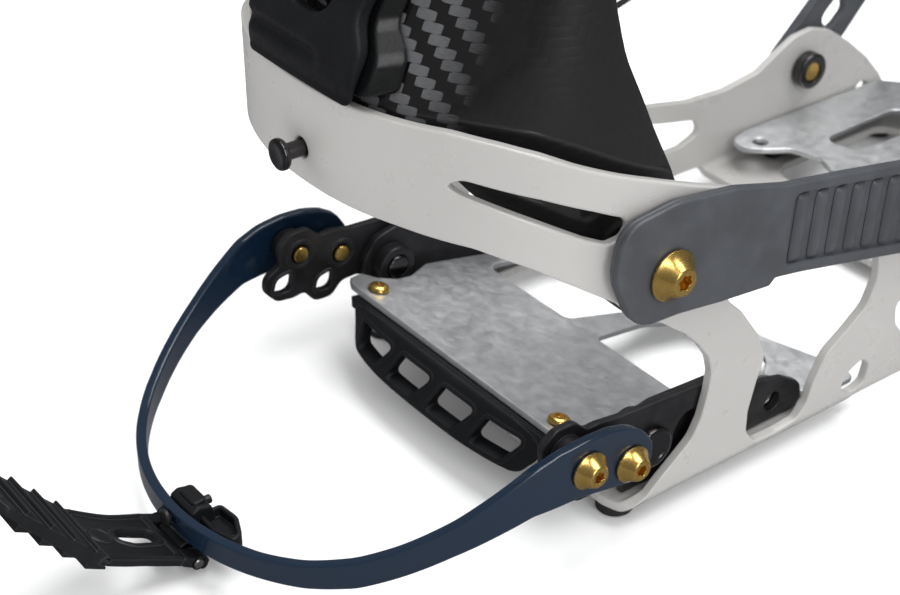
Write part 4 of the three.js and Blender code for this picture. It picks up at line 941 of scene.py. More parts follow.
def bent_band(name, plan, low, top, holes, rim, end_radius, stations, spread):
    """low and top: edges of the band as (y, z)."""
    low_z = smooth_table(low, plan.y[0], plan.y[-1], 240, spread)
    top_z = smooth_table(top, plan.y[0], plan.y[-1], 240, spread)
    arcs = np.linspace(0, plan.length, stations)
    places = list(zip(arcs, np.interp(arcs, plan.arc, plan.y)))
    lower = [(arc, low_z(y)) for arc, y in places]
    upper = [(arc, top_z(y)) for arc, y in places]
    right = lower[:-1] + [(*lower[-1], end_radius), (*upper[-1], end_radius)] + upper[-2::-1]
    outer = outline(right + mirror_points(right[1:-1]), 0.0, 5)
    count = int(plan.length / (1.5 if plan.length < 120 else 1.9))
    cuts = [plan.length * i / count for i in range(1, count)]
    return sheet(name, outer, holes, 0.0, SHEET, rim, plan.bend,
                 [(0, [-cut for cut in cuts] + [0.0] + cuts)], smooth_angle=40)


LOOP = PlanCurve(half_width=55.1, depth=46.0, power=2.2, straight_y=-87.0, end_y=-61.5)
LOOP_LOW = [
    (-133.1, 73.7), (-129, 73.7), (-121, 72.3), (-113, 68.6), (-106, 64.2), (-97.5, 58.6),
    (-91, 54.2), (-86, 53.0), (-80, 53.6), (-74, 56.4), (-68, 61.5), (-61.5, 66.0)]
LOOP_TOP = [
    (-133.1, 95.6), (-124, 95.8), (-118, 94.4), (-112, 92.4), (-106, 89.6), (-98, 86.4),
    (-90, 83.4), (-78, 78.4), (-68, 74.6), (-61.5, 71.6)]
LOOP_SLOT = [                                   # (y, z)
    (-124.3, 84.8), (-122.6, 86.6), (-112, 83.4), (-103, 79.9), (-97.2, 77.4), (-95.4, 75.2),
    (-96.8, 72.9), (-99.8, 72.2), (-104, 74.0), (-112, 78.2), (-122.8, 83.4)]
POST_Z = 81.1                                   # latch post at the loop's rear

BAIL = PlanCurve(half_width=57.0, depth=64.5, power=2.05, straight_y=BAIL_BOLTS[0][0],
                 end_y=-87.4)
BAIL_TOP = [
    (-169.6, 8.9), (-163.5, 9.1), (-158, 9.9), (-150.5, 12.1), (-143, 15.3), (-133.5, 19.9),
    (-127, 23.6), (-118, 28.6), (-112, 30.3), (-105, 31.0), (-99, 30.6), (-94, 29.2),
    (-90, 26.8), (-88, 23.8), (-87.4, 22.2)]
BAIL_LOW = [
    (-169.6, 3.3), (-158, 3.9), (-150.5, 5.4), (-143, 8.4), (-134.5, 11.9), (-125, 15.1),
    (-118, 17.2), (-107, 17.4), (-99, 15.9), (-94, 15.0), (-90, 15.8), (-88, 18.2),
    (-87.4, 19.8)]
LATCH_SCREW_Z = 6.7


def build_loop():
    slot = subdivide_loop(outline(LOOP_SLOT, 1.8), 1.2)
    holes = both_sides(np.array([(LOOP.arc_at(y), z) for y, z in slot]))
    holes += LOOP.bolt_holes(STRAP_BOLT, STRAP_HOLE, 32)
    holes.append(circle(0, POST_Z, 2.1, 24))
    return bent_band("heel_loop_band", LOOP, LOOP_LOW, LOOP_TOP, holes, rim=0.55,
                     end_radius=2.6, stations=90, spread=4)


def build_bail():
    holes = []
    for bolt in BAIL_BOLTS:
        holes += BAIL.bolt_holes(bolt, BAIL_HOLE, 28)
    holes.append(circle(0, LATCH_SCREW_Z, 1.4, 20))
    return bent_band("lever_bail_band", BAIL, BAIL_LOW, BAIL_TOP, holes, rim=0.5,
                     end_radius=1.0, stations=110, spread=3)


# ---------------------------------------------------------------- highback
BACK_LOW_Z, BACK_TOP_Z = 46, 222
# (z, half width), (z, y of the rear line), (z, y of the side edges)
half_width_at = smooth_table(
    [(46, 49.6), (80, 49.5), (93, 48.6), (104, 47.2), (118, 45.4), (150, 43.6), (185, 41.5),
     (222, 38)], BACK_LOW_Z, BACK_TOP_Z, 300, 10)
rear_at = smooth_table(
    [(46, -130.0), (93, -130.1), (96, -129.7), (104, -126.2), (112, -122.2), (125, -116.6),
     (150, -108.5), (185, -99.6), (222, -92.5)], BACK_LOW_Z, BACK_TOP_Z, 300, 5)
edge_at = smooth_table(
    [(46, -80.5), (62, -78.5), (77, -79), (82, -81.3), (89.6, -85), (99, -88.7), (106, -91.7),
     (118, -93.8), (135, -93.6), (160, -90.5), (190, -85.4), (222, -79.5)],
    BACK_LOW_Z, BACK_TOP_Z, 300, 8)
# lower rim: (share of the way round from rear to side edge, z)
lower_rim_at = smooth_table(
    [(0, 93), (0.24, 92.6), (0.43, 86), (0.6, 71), (0.75, 60), (0.87, 51.5), (0.955, 47.6),
     (1, 48.4)], 0, 1, 200, 7)


def back_point(share, z, inset):
    """x, y and arc length on the highback's section at z, a share of the way round."""
    half_width, rear, edge = half_width_at(z) - inset, rear_at(z) + inset, edge_at(z)
    curve_end = min(edge, rear + 46 - inset - 0.02 * max(0, z - 93))
    angle = np.linspace(0, math.pi / 2, 90)
    x = half_width * np.sin(angle) ** (2 / 2.2)
    y = curve_end - (curve_end - rear) * np.cos(angle) ** (2 / 2.2)
    y[-1] = curve_end
    if edge > curve_end + 0.01:
        x, y = np.append(x, half_width), np.append(y, edge)
    arc = np.concatenate([[0], np.cumsum(np.hypot(np.diff(x), np.diff(y)))])
    reach = share * arc[-1]
    return float(np.interp(reach, arc, x)), float(np.interp(reach, arc, y)), reach


def back_panel(name, insets, widest, low, top, columns, rows, rim, smooth_angle):
    """Closed curved panel between two insets, with a rounded rim and a weave map."""
    verts, uvs = [], []
    for i in range(-columns, columns + 1):
        share, sign = abs(i) / columns * widest, (-1 if i < 0 else 1)
        low_z, top_z = low(share), top(share)
        for j in range(rows + 1):
            z = low_z + (top_z - low_z) * j / rows
            outer_arc = sign * back_point(share, z, insets[0])[2]
            for inset, squeeze in zip(insets, (1.0, 0.96)):
                x, y, _ = back_point(share, z, inset)
                verts.append((sign * x, y, z))
                uvs.append((outer_arc * squeeze, z * 1.12))
    last_column, last_row = 2 * columns, rows
    index, faces, border = two_skins(last_column + 1, last_row + 1)

    def at(i, j, skin):
        return np.array(verts[index(i, j, skin)])
    chains = []                                 # across the rim at each border cell
    for i, j in border:
        inner_i, inner_j = min(max(i, 1), last_column - 1), min(max(j, 1), last_row - 1)
        outside, inside = at(i, j, 0), at(i, j, 1)
        core = (at(inner_i, inner_j, 0) + at(inner_i, inner_j, 1)) / 2
        away = (outside + inside) / 2 - core
        away /= max(np.linalg.norm(away), 1e-6)
        chain = [index(i, j, 0)]
        for across, bulge in ((0.12, 0.55), (0.5, 1.0), (0.88, 0.55)):
            chain.append(len(verts))
            verts.append(tuple(outside * (1 - across) + inside * across + away * rim * bulge))
            uvs.append(uvs[index(i, j, 0)])
        chains.append(chain + [index(i, j, 1)])
    for here, following in zip(chains, chains[1:] + chains[:1]):
        for k in range(4):
            faces.append((here[k], here[k + 1], following[k + 1], following[k]))
    mesh = raw_mesh(name, np.array(verts) * MM, faces)
    layer = mesh.uv_layers.new(name="weave")
    for corner in mesh.loops:
        across, up = uvs[corner.vertex_index]
        layer.data[corner.index].uv = (across / TOW, up / TOW)
    recalc_normals(mesh)
    return finish_mesh(name, mesh, smooth_angle, weighted=False)


def lean_matrix():
    """Local frame of the lean adjuster: -y is outwards, z up along the shell."""
    return Matrix.Translation(Vector(LEAN_FOOT) * MM) @ Matrix.Rotation(-LEAN, 4, "X")


def build_highback():
    shell = back_panel("highback_carbon_shell", (0.0, 2.2), 1.0, lower_rim_at,
                       lambda share: BACK_TOP_Z - 34 * share ** 5, columns=44, rows=52,
                       rim=0.55, smooth_angle=55)
    bolt = [(40, 0), (40, STRAP_HOLE), (60, STRAP_HOLE), (60, 0)]
    for side in (1, -1):
        cut_away(shell, lathe("cut", bolt, 40, at=(0, *STRAP_BOLT), side=side))
    screw = lathe("cut", [(-20, 0), (-20, 1.7), (20, 1.7), (20, 0)], 24, "Y",
                  (0, 0, LEAN_SCREW_UP))
    screw.data.transform(lean_matrix())
    cut_away(shell, screw)
    return shell


# ---------------------------------------------------------------- fasteners
# base: x where the head starts; end: x of the shank's tip; foot and nose: radii of the cone
STRAP_CONE = dict(base=58.4, end=44.3, foot=5.5, nose=2.9, height=3.9, shank=2.95, socket=1.7,
                  seg=84)
TOE_CONE = dict(base=55.9, end=46.6, foot=4.9, nose=2.6, height=3.4, shank=2.85, socket=1.5,
                seg=72)
BAIL_CONE = dict(base=57.1, end=47.3, foot=4.2, nose=2.35, height=3.4, shank=2.0, socket=1.3,
                 seg=66)
SOCKET_DEPTH = 2.4


def cone_bolt(name, centre, side, clock, base, end, foot, nose, height, shank, socket, seg):
    """Cone head with a grooved foot, a flat nose and a six-lobed socket turned by clock."""
    tip = base + height
    taper = foot - nose
    profile = [
        (end, 0), (end, shank - 0.25), (end + 0.25, shank), (base - 0.01, shank),
        (base, foot - 0.25), (base + 0.12, foot), (base + 0.55, foot + 0.02),
        (base + 0.75, foot - 0.18), (base + height * 0.35, foot - taper * 0.36),
        (base + height * 0.7, foot - taper * 0.72), (tip - 0.32, nose + 0.12),
        (tip - 0.12, nose - 0.02), (tip, nose - 0.25)]
    lobed = range(len(profile) + 1, len(profile) + 4)
    profile += [
        (tip, socket * 1.16), (tip - 0.14, socket), (tip - 0.4, socket * 0.985),
        (tip - SOCKET_DEPTH, socket * 0.97), (tip - SOCKET_DEPTH - 0.25, socket * 0.6),
        (tip - SOCKET_DEPTH - 0.3, 0)]

    def lobes(ring, angle):
        return 0.93 + 0.12 * math.cos(6 * (angle + clock)) if ring in lobed else 1.0
    return lathe(name, profile, seg, at=(0, *centre), side=side, lobes=lobes, smooth_angle=30)


def nut(name, start, end, bore, outer, centre, side):
    """Ring along X with its outer corners softened."""
    profile = [(start, bore), (start, outer - 0.5), (start + 0.15, outer - 0.2),
               (start + 0.5, outer), (end - 0.2, outer), (end, outer - 0.2), (end, bore)]
    seg = 64
    verts = []
    for x, radius in profile:
        for k in range(seg):
            angle = 2 * math.pi * k / seg
            verts.append((x * side, radius * math.cos(angle), radius * math.sin(angle)))
    rings = rings_of(len(profile), seg)
    points = (np.array(verts) + np.array((0, *centre))) * MM
    mesh = raw_mesh(name, points, skin_rings(rings + rings[:1]))
    recalc_normals(mesh)
    return finish_mesh(name, mesh, 35)


def build_pivot(side):
    return lathe("pivot_pin_turned", [
        (40.8, 0), (40.8, 2.45), (41.0, 2.8), (41.35, 3.0), (50.1, 3.0), (50.1, 4.6),
        (50.25, 4.8), (51.2, 4.8), (51.6, 4.5), (51.75, 4.0), (51.75, 3.1), (51.55, 2.9),
        (51.55, 0)], at=(0, *PIVOT), side=side)


def build_plate_screw(side):
    x, y = PLATE_SCREW
    ob = lathe("plate_screw_turned", [
        (-4.6, 0), (-4.6, 1.0), (-4.4, 1.2), (0.35, 1.2), (0.35, 2.5), (0.5, 2.62), (0.95, 2.5),
        (1.3, 2.15), (1.55, 1.7), (1.6, 1.3), (1.6, 0.9), (0.9, 0.8), (0.9, 0)], 48, "Z")
    tilt = Matrix.Rotation(-math.atan(RAMP_SLOPE), 4, "X")
    ob.data.transform(Matrix.Translation(Vector((x * side, y, 16.33)) * MM) @ tilt)
    return ob


def build_foot_pad(x, y):
    return lathe("foot_pad_disc", [
        (-3.8, 0), (-3.8, 3.5), (-3.72, 3.8), (-3.5, 4.05), (-3.2, 4.2), (-0.5, 4.2),
        (-0.35, 4.05), (-0.35, 0)], 48, "Z", (x, y, 0))


def build_latch_post():
    return lathe("latch_post_turned", [
        (-128.9, 0), (-128.9, 2.1), (-129.05, 2.35), (-129.5, 3.0), (-130.2, 3.0),
        (-130.2, 1.75), (-136.9, 1.75), (-136.98, 2.6), (-137.15, 3.05), (-137.5, 3.28),
        (-138.2, 3.3), (-138.6, 3.15), (-138.85, 2.75), (-138.9, 2.2), (-138.78, 1.95),
        (-138.7, 0)], 64, "Y", (0, 0, POST_Z))


def build_latch_screw():
    return lathe("latch_screw_turned", [
        (-171.1, 0), (-171.1, 1.3), (-171.0, 1.75), (-170.7, 2.0), (-170.1, 2.0),
        (-169.9, 1.9), (-169.9, 1.0), (-159.8, 1.0), (-159.6, 0.8), (-159.6, 0)],
        48, "Y", (0, 0, LATCH_SCREW_Z))


def build_latch_pin():
    return lathe("latch_pin_rod", [(-9.6, 0), (-9.6, 0.85), (-9.35, 1.1), (9.35, 1.1),
                                   (9.6, 0.85), (9.6, 0)], 32, at=(0, *LATCH))


# ---------------------------------------------------------------- side plates, right hand
LEVER_PLATE = [                                 # (y, z[, corner radius])
    (-112.2, 13.0), (-115.4, 16.6), (-115.0, 20.4), (-110.6, 22.6, 2), (-111.2, 27),
    (-107.6, 30.0), (-102.4, 30.0), (-99.2, 26.9, 2), (-96, 26.9), (-90, 26.0, 2),
    (-62.3, 24.2, 1), (-62.0, 18.8, 1), (-72.0, 18.9, 3), (-74.2, 15.5), (-74.6, 11),
    (-78.6, 8.0), (-83.6, 8.0), (-88.6, 12.4, 3), (-93.6, 12.2, 3), (-96.6, 9.0),
    (-101.4, 9.2), (-104.4, 12.9, 2), (-107.6, 12.4)]
TEAR_HOLES = (-110.3, 17.2, 3.0), (-98.7, 13.8, 2.9)    # (y, z, size)


def tear(y, z, size):
    return outline([(y - size, z - size * 0.6), (y - size * 0.6, z + size * 0.7),
                    (y + size, z + size), (y + size * 0.7, z - size * 0.8)], size * 0.8)


def build_lever_plate():
    holes = [circle(*PIVOT, PIVOT_HOLE, 32)]
    holes += [circle(*bolt, BAIL_HOLE, 28) for bolt in BAIL_BOLTS]
    holes += [tear(*hole) for hole in TEAR_HOLES]
    parts = [part(outline(LEVER_PLATE, 3.2), holes, 47.9, 49.8, 0.35, upright)]
    for bolt in BAIL_BOLTS:
        # spacer outside, raised rim on the inner face
        parts.append(part(circle(*bolt, 4.2, 44), [circle(*bolt, BAIL_HOLE, 28)], 49.7, 54.4,
                          0.4, upright))
        parts.append(part(circle(*bolt, 3.9, 40), [circle(*bolt, 2.9, 36)], 47.45, 48.0, 0.2,
                          upright))
    for y, z, size in TEAR_HOLES:
        parts.append(part(tear(y, z, size + 0.95), [tear(y, z, size)], 47.5, 48.0, 0.2, upright))
    return join_into("lever_side_plate_right", parts)


def build_rail():
    profile = outline([
        (-88.2, 11), (-88.6, 17), (-85, 22.2), (-79, 23.6), (-62, 22.6), (-52, 19.0),
        (-46, 14.8), (-38, 12.8), (-32.4, 9.4), (-31.6, 5, 2), (-33, 2.7, 0), (-86, 2.7, 0)], 4)
    holes = [circle(*PIVOT, PIVOT_HOLE, 32), circle(*LINK_EYE, 2.4, 28)]
    foot = outline([(-76, 2.75), (-50, 2.75), (-50, 4.4), (-76, 4.4)], 0.5, 3)
    return join_into("side_rail_plate_right", [
        part(profile, holes, 45.3, 47.4, 0.35, upright),
        part(foot, [], 41.6, 45.5, 0.3, upright)])


def build_link_lug():
    profile = outline([(-47.6, 2.85, 0.5), (-46.6, 9.4), (-42.4, 13), (-37.6, 11), (-36.4, 6.8),
                       (-37.4, 2.85, 0.5)], 3, 7)
    return sheet("link_lug_plate_right", profile, [circle(*LINK_EYE, 2.0, 32)], 42.9, 45.0,
                 0.3, upright)


def build_toe_spacer():
    plan = outline([(41.1, 50), (46.6, 50), (46.6, 98), (41.1, 98)], 2.4)
    return join_into("toe_spacer_block_right", [part(plan, [], 2.75, 8.2, 0.4)])


# ---------------------------------------------------------------- heel and toe plates, heel pad
HEEL_HALF = [                                   # (x, y, corner radius), right half
    (38.2, -97.3, 2.5), (41.5, -95.6, 1.5), (42.8, -91.6, 1.5), (39.4, -89.2, 2),
    (37.2, -84.9, 3), (37.6, -80.4, 3), (42.2, -72.6, 3), (42.4, -36, 2), (43.4, -30.2, 2),
    (48.5, -27.0, 2), (48.5, -14.4, 2), (38, -15.6, 6), (24, -19.6, 8)]
HEEL_BEND_Y = -34.0
HEEL_BEND_RADIUS = 14.0
HEEL_RAMP = math.atan(13.1 / 63.3)


def heel_ramp(x, y, height):
    """Flat forward of the bend, rising ramp behind it, soft bend between."""
    reach = HEEL_BEND_RADIUS * math.tan(HEEL_RAMP / 2)
    if y >= HEEL_BEND_Y + reach:
        return (x, y, HEEL_RISE + height)
    if y <= HEEL_BEND_Y - reach:
        angle = HEEL_RAMP
        z = HEEL_RISE + (HEEL_BEND_Y - y) * math.tan(HEEL_RAMP)
    else:
        share = (HEEL_BEND_Y + reach - y) / (2 * reach)
        angle = HEEL_RAMP * share
        z = HEEL_RISE + (share * share) * reach * math.tan(HEEL_RAMP)
    return (x, y + height * math.sin(angle), z + height * math.cos(angle))


def build_heel_plate():
    window = outline([(5.2, -57.6, 2.5), (36.4, -57.8, 5), (37.4, -34, 7), (30.4, -25.4, 5),
                      (7.2, -24.6, 4), (3.2, -40, 6)], 3, 7)
    x, y = PLATE_SCREW
    holes = both_sides(window) + [circle(x, y, 1.7, 24), circle(-x, y, 1.7, 24)]
    cuts = [HEEL_BEND_Y + d for d in (-1.6, -1.1, -0.55, 0, 0.55, 1.1, 1.6)]
    return sheet("heel_plate_sheet", outline(HEEL_HALF + mirror_points(HEEL_HALF), 2), holes,
                 0.0, 1.55, 0.32, heel_ramp, [(1, cuts)])


def build_toe_plate():
    half = [(14, 46.5), (24, 51), (33, 49), (38, 42), (42, 38), (47.5, 39.5), (49.3, 46),
            (49.3, 102, 4), (41, 109.5, 6)]
    window = outline([(21, 62), (32, 60), (33, 92), (20, 95)], 5, 7)
    holes = [circle(0, 78, 13, 56), circle(41.5, 44.8, 2.2, 28), circle(-41.5, 44.8, 2.2, 28)]
    return sheet("toe_plate_sheet", outline(half + mirror_points(half), 4, 7),
                 holes + both_sides(window), 8.5, 10.1, 0.32)


def pad_slope(x, down, forward):
    """Slanting, bowed face of the heel pad; down runs from its top edge."""
    share, side = down / 12.2, min(1.0, abs(x) / 38.4)
    top_y, low_y = -99.6 + 2.4 * side ** 4, -105.4 + 6.5 * side ** 3
    y, z = top_y + (low_y - top_y) * share, 15.3 + (4.6 - 15.3) * share
    return (x, y + forward * 0.87, z + forward * 0.16)


def build_heel_pad():
    """Sloped grille: deep moulded windows with raised lips, and a shelf under the plate."""
    outer = outline([(-37.0, 0.1, 1.5), (37.0, 0.1, 1.5), (31.0, 12.0, 4.5),
                     (-31.0, 12.0, 4.5)], 2, 8)
    windows = []
    for middle in (-23.2, -7.8, 7.8, 23.2):
        top, low = (-6.2, -5.4) if middle < -20 else (-4.3, -7.0)
        window = outline([(middle + top, 3.0), (middle + 7.4, 3.0), (middle + 2.8, 10.3),
                          (middle + low, 10.3)], 1.25, 7)
        windows.append(subdivide_loop(window, 1.6))
    columns = (0, list(np.arange(-34, 34.1, 2.6)))
    parts = [part(subdivide_loop(outer, 2.0), windows, 0.05, 4.2, 0.7, pad_slope,
                  [columns, (1, [2, 4, 6, 8, 10])], steps=4)]
    for window in windows:
        parts.append(part(grow(window, 0.95), [window], -0.35, 0.35, 0.3, pad_slope, [columns]))

    def underside(y):
        return 15.30 - RAMP_SLOPE * (y + 97.3)
    shelf = outline([(-98.6, 12.4), (-98.6, underside(-98.6)), (-86.4, underside(-86.4)),
                     (-86.4, 10.9)], 0.4, 3)
    parts.append(part(shelf, [], -36.4, 36.4, 0.3, upright))
    return join_into("heel_pad_moulding", parts)


# ---------------------------------------------------------------- latch on the bail
def build_latch_block():
    block = outline([                           # (y, z, corner radius)
        (-166.75, 3.1, 0.5), (-166.75, 8.5, 1), (-164.9, 9.4, 1), (-161.6, 8.6, 1.5),
        (-160.8, 3.1, 1), (-164.0, -1.9, 2), (-168.0, -2.9, 1.5), (-170.6, -1.1, 1.5),
        (-170.2, 1.5, 1), (-167.4, 2.7, 0.4)], 1)
    # low curved guard beside the block, hollowed inside
    guard = outline([(3.0, -164.9, 0.3), (3.0, -158.9, 1.5), (9.0, -158.2, 4),
                     (14.4, -160.6, 4), (15.2, -163.2, 1.2), (9.6, -164.9, 3)], 1, 10)
    cap = outline([(-3.5, -165.5), (3.5, -165.5), (3.2, -162.0), (-3.2, -162.0)], 1.2)
    return join_into("latch_block_moulding", [
        part(block, [circle(*LATCH, 1.4, 28)], -4.6, 4.6, 0.7, upright, steps=4),
        part(guard, [], 3.2, 4.8, 0.4),
        part(guard, [grow(guard, -1.15)], 3.6, 7.0, 0.45),
        part(cap, [], 8.6, 9.9, 0.45)])


def latch_frame():
    """Local frame of the latch strap: y runs out along it to the rear, z off its face."""
    rise = math.atan(0.56)
    return Matrix(((1, 0, 0, 0), (0, -math.cos(rise), math.sin(rise), LATCH[0]),
                   (0, math.sin(rise), math.cos(rise), LATCH[1]), (0, 0, 0, 1)))


THUMB_START, THUMB_LENGTH = 25, 28.2            # thumb pad, along the latch strap
THUMB_BEND = math.radians(21)
# stepped ribs on the pad: (place along it, half width), and sections as (along, height)
THUMB_RIBS = (1.6, 9.5), (8.2, 9.5), (14.8, 9.5), (21.2, 8.9), (26.9, 6.6)
RIB_ABOVE = [(-4.6, 1.15), (-0.2, 2.25), (0.2, 2.15), (0.3, 0.4), (-4.4, 0.4)]
RIB_BELOW = [(-4.6, -1.0), (-0.2, -2.7), (0.2, -2.6), (0.3, -0.5), (-4.4, -0.5)]


def build_latch_strap():
    frame = latch_frame()

    def on_arm(x, along, up):
        # the arm dips a little in the middle before the pad turns up
        dip = 0.55 * math.sin(math.pi * min(1, max(0, (along - 5) / 20)))
        return frame @ Vector((x, along, up - dip))

    def on_pad(along, up, x):
        turn, lift = math.cos(THUMB_BEND), math.sin(THUMB_BEND)
        return frame @ Vector((x, THUMB_START + along * turn - up * lift,
                               along * lift + up * turn))

    def thumb_skin(along, x, level):
        """level -1 to 1: lower to upper skin, closer together at the tip."""
        share = min(1, max(0, along / THUMB_LENGTH))
        upper = 1.5 * (1 - share) + 0.95 * share
        lower = -2.0 * (1 - share) - 0.7 * share
        return on_pad(along, (upper + lower) / 2 + level * (upper - lower) / 2, x)

    arm = subdivide_loop(outline([
        (-9.0, 3.5, 0.6), (9.0, 3.5, 0.6), (8.5, 13, 12), (9.5, 22, 6), (9.4, 26.4),
        (-9.4, 26.4), (-9.5, 22, 6), (-8.5, 13, 12)], 1, 8), 1.4)
    slot = subdivide_loop(outline([(-2.2, 5.6), (2.2, 5.6), (2.7, 12.5), (1.5, 15.4),
                                   (-1.5, 15.4), (-2.7, 12.5)], 1.7, 8), 0.9)
    cuts = [(1, list(np.arange(5, 26, 1.8)))]
    parts = [
        part(arm, [slot], -1.15, 0.7, 0.4, on_arm, cuts),
        # raised rims round the arm and the slot, then a ring with a disc in it
        part(arm, [grow(arm, -1.5)], 0.3, 1.2, 0.4, on_arm, cuts),
        part(grow(slot, 1.15), [slot], 0.3, 1.05, 0.32, on_arm, cuts),
        part(circle(0, 19.6, 2.9, 44), [circle(0, 19.6, 2.45, 40)], 0.45, 0.95, 0.16, on_arm),
        part(circle(0, 19.6, 2.3, 40), [], 0.3, 0.9, 0.16, on_arm)]
    # two knuckles round the latch pin
    knuckle = subdivide_loop(outline([(-2.6, -1.5), (-2.6, 1.5), (4.2, 1.05), (4.2, -1.05)],
                                     1.2, 7), 1.5)
    for left, right in ((5.2, 9.2), (-9.2, -5.2)):
        parts.append(part(knuckle, [circle(0, 0, 1.15, 22)], left, right, 0.4,
                          lambda along, up, x: on_arm(x, along, up)))
    # thumb pad: turned up, with ribs across both faces
    plan = subdivide_loop(outline([
        (-1.6, -9.6), (20, -9.6), (25.5, -8.6), (28.2, -5.5), (28.2, 5.5), (25.5, 8.6),
        (20, 9.6), (-1.6, 9.6)], 2.0, 7), 1.6)
    parts.append(part(plan, [], -1.0, 1.0, 0.3, thumb_skin,
                      [(0, list(np.arange(0, 28, 2.0)))], steps=4))
    for along, half_width in THUMB_RIBS:
        squash = 1.0 if along < 24 else 0.72
        for section in (RIB_ABOVE, RIB_BELOW):
            rib = outline(moved(section, along, 0), 0.16, 3) * np.array([1, squash])
            parts.append(part(rib, [], -half_width, half_width, 0.12, on_pad))
    return join_into("latch_strap_moulding", parts)


# ---------------------------------------------------------------- toothed tongues on the right
ANKLE_TONGUE = [                                # (y, z[, corner radius])
    (-101.4, 66.4, 11), (-99.8, 77.2, 11), (-86, 78.6, 12), (-70, 76.4), (-55.8, 72.4),
    (-40, 69.7), (-20, 65.9), (12, 59.6), (40, 53.0), (47.6, 49.6, 6), (47.0, 39.4, 6),
    (40, 33.8, 5), (10, 38.2), (-17, 42.8), (-34, 46.6), (-49.7, 50.0), (-57.0, 51.3, 0.5),
    (-58.6, 49.9, 0.5), (-72.7, 51.4), (-84, 53.0, 8), (-95.6, 53.6, 9)]
TOOTH_FIELD = [                                 # (y, z)
    (-54.4, 53.2), (-49.0, 52.4), (-34, 49.2), (-17, 45.4), (10, 40.9), (40, 36.9),
    (44.2, 41.0), (44.6, 47.8), (39, 50.6), (12, 57.1), (-20, 63.4), (-40, 67.2),
    (-54.0, 69.8)]
TOOTH_TOPS = [(-54, 69.4), (-40, 66.9), (-20, 63.1), (12, 56.8), (39, 50.3)]
TOOTH_FEET = [(-54, 53.4), (-34, 49.6), (-17, 45.8), (10, 41.3), (40, 37.3)]
TOOTH_SECTION = [                               # (y from the tooth's middle, height)
    (-2.0, 0.0), (-1.55, 0.55), (-0.95, 1.0), (-0.3, 1.22), (0.35, 1.22), (0.95, 1.0),
    (1.5, 0.5), (1.9, 0.0)]
TOOTH_FLOOR_X = 56.82


def build_tooth(middle):
    """Rounded bar that leans a little with the strap and fades at both ends."""
    low, high = interpolate(TOOTH_FEET, middle) + 0.25, interpolate(TOOTH_TOPS, middle) - 0.25
    levels = [low, low + 0.25, low + 0.8, *np.linspace(low + 1.6, high - 1.6, 4), high - 0.8,
              high - 0.25, high]
    fullness = [0.0, 0.45, 0.82, 1, 1, 1, 1, 0.82, 0.45, 0.0]
    verts = []
    for z, full in zip(levels, fullness):
        lean = (z - low) / (high - low) - 0.5
        for y, height in TOOTH_SECTION:
            verts.append((TOOTH_FLOOR_X + height * full,
                          middle + y * (0.75 + 0.25 * full) + lean, z))
    rings = rings_of(len(levels), len(TOOTH_SECTION))
    faces = skin_rings(rings) + [tuple(rings[0]), tuple(rings[-1])[::-1]]
    ob = mesh_object("part", np.array(verts) * MM, faces, 60)
    recalc_normals(ob.data)
    return ob


def build_ankle_tongue():
    profile = outline(ANKLE_TONGUE, 14, 8)
    hole = circle(*STRAP_BOLT, STRAP_HOLE, 36)
    # the upper layer leaves the tooth field out
    parts = [part(profile, [hole], 55.5, 56.9, 0.5, upright),
             part(profile, [hole, outline(TOOTH_FIELD, 2.4, 7)], 56.6, 58.1, 0.55, upright,
                  steps=4)]
    parts += [build_tooth(-50.6 + i * 5.7) for i in range(16)]
    return join_into("ankle_tongue_moulding", parts)


# Strap coordinates: x as in the scene, then along the strap and across it.
def strap_matrix(strap):
    degrees, (y, z) = strap
    return Matrix.Translation(Vector((0, y, z))) @ Matrix.Rotation(math.radians(degrees), 4, "X")


def on_strap(strap):
    """Plate drawn along and across the strap, thickness along X."""
    frame = strap_matrix(strap)
    return lambda along, across, x: frame @ Vector((x, along, across))


def through_strap(strap):
    """Profile drawn in X and along the strap, thickness across it."""
    frame = strap_matrix(strap)
    return lambda x, along, across: frame @ Vector((x, along, across))


def build_toe_tongue():
    to_xyz = on_strap(TOE_TONGUE)
    profile = outline([(-9, 0, 8), (-6, 8.4, 6), (6, 8.6, 5), (76, 6.6, 4), (80, 0, 3),
                       (76, -6.6, 4), (6, -8.6, 5), (-6, -8.4, 6)], 4, 8)
    field = outline([(16, -6.2), (74, -4.6), (76, 0), (74, 4.6), (16, 6.2)], 1.6)
    hole = circle(0, 0, 3.2, 32)
    parts = [part(profile, [hole], 53.0, 54.4, 0.4, to_xyz),
             part(profile, [hole, field], 54.2, 55.2, 0.4, to_xyz)]
    for i in range(12):
        along, half = 19.5 + 4.6 * i, 5.45 - 0.1 * i
        tooth = outline([(along - 1.3, -half), (along + 1.1, -half), (along + 1.1, half),
                         (along - 1.3, half)], 0.5, 4)
        parts.append(part(tooth, [], 54.1, 54.98, 0.38, to_xyz))
    return join_into("toe_tongue_moulding", parts)


# ---------------------------------------------------------------- lean adjuster on the highback
BLOCK_INNER, BLOCK_OUTER, BLOCK_DEPTH = -3.3, -8.2, 4.9
LOOP_REST_Z = 96.45                             # the block's foot flattens here


def block_face(up, across):
    """Outer face: slopes out from the foot, bows back towards both sides."""
    depth = 4.6 + 3.5 * (1 - math.exp(-max(0.0, up + 0.5) / 4.2))
    depth -= 1.15 * (abs(across) / 17.6) ** 2.2
    # rounded scoop near the lower edge, fading out to one side
    fade = 1 / (1 + math.exp((across - 7.0) / 0.9))
    depth -= 1.15 * fade * math.exp(-((up - 4.3) / 1.25) ** 2)
    depth += 0.45 * fade * math.exp(-((up - 6.6) / 1.1) ** 2)
    depth += 0.35 * math.exp(-((up - 4.6) ** 2 + (across - 8.6) ** 2) / 3.5)
    return -depth


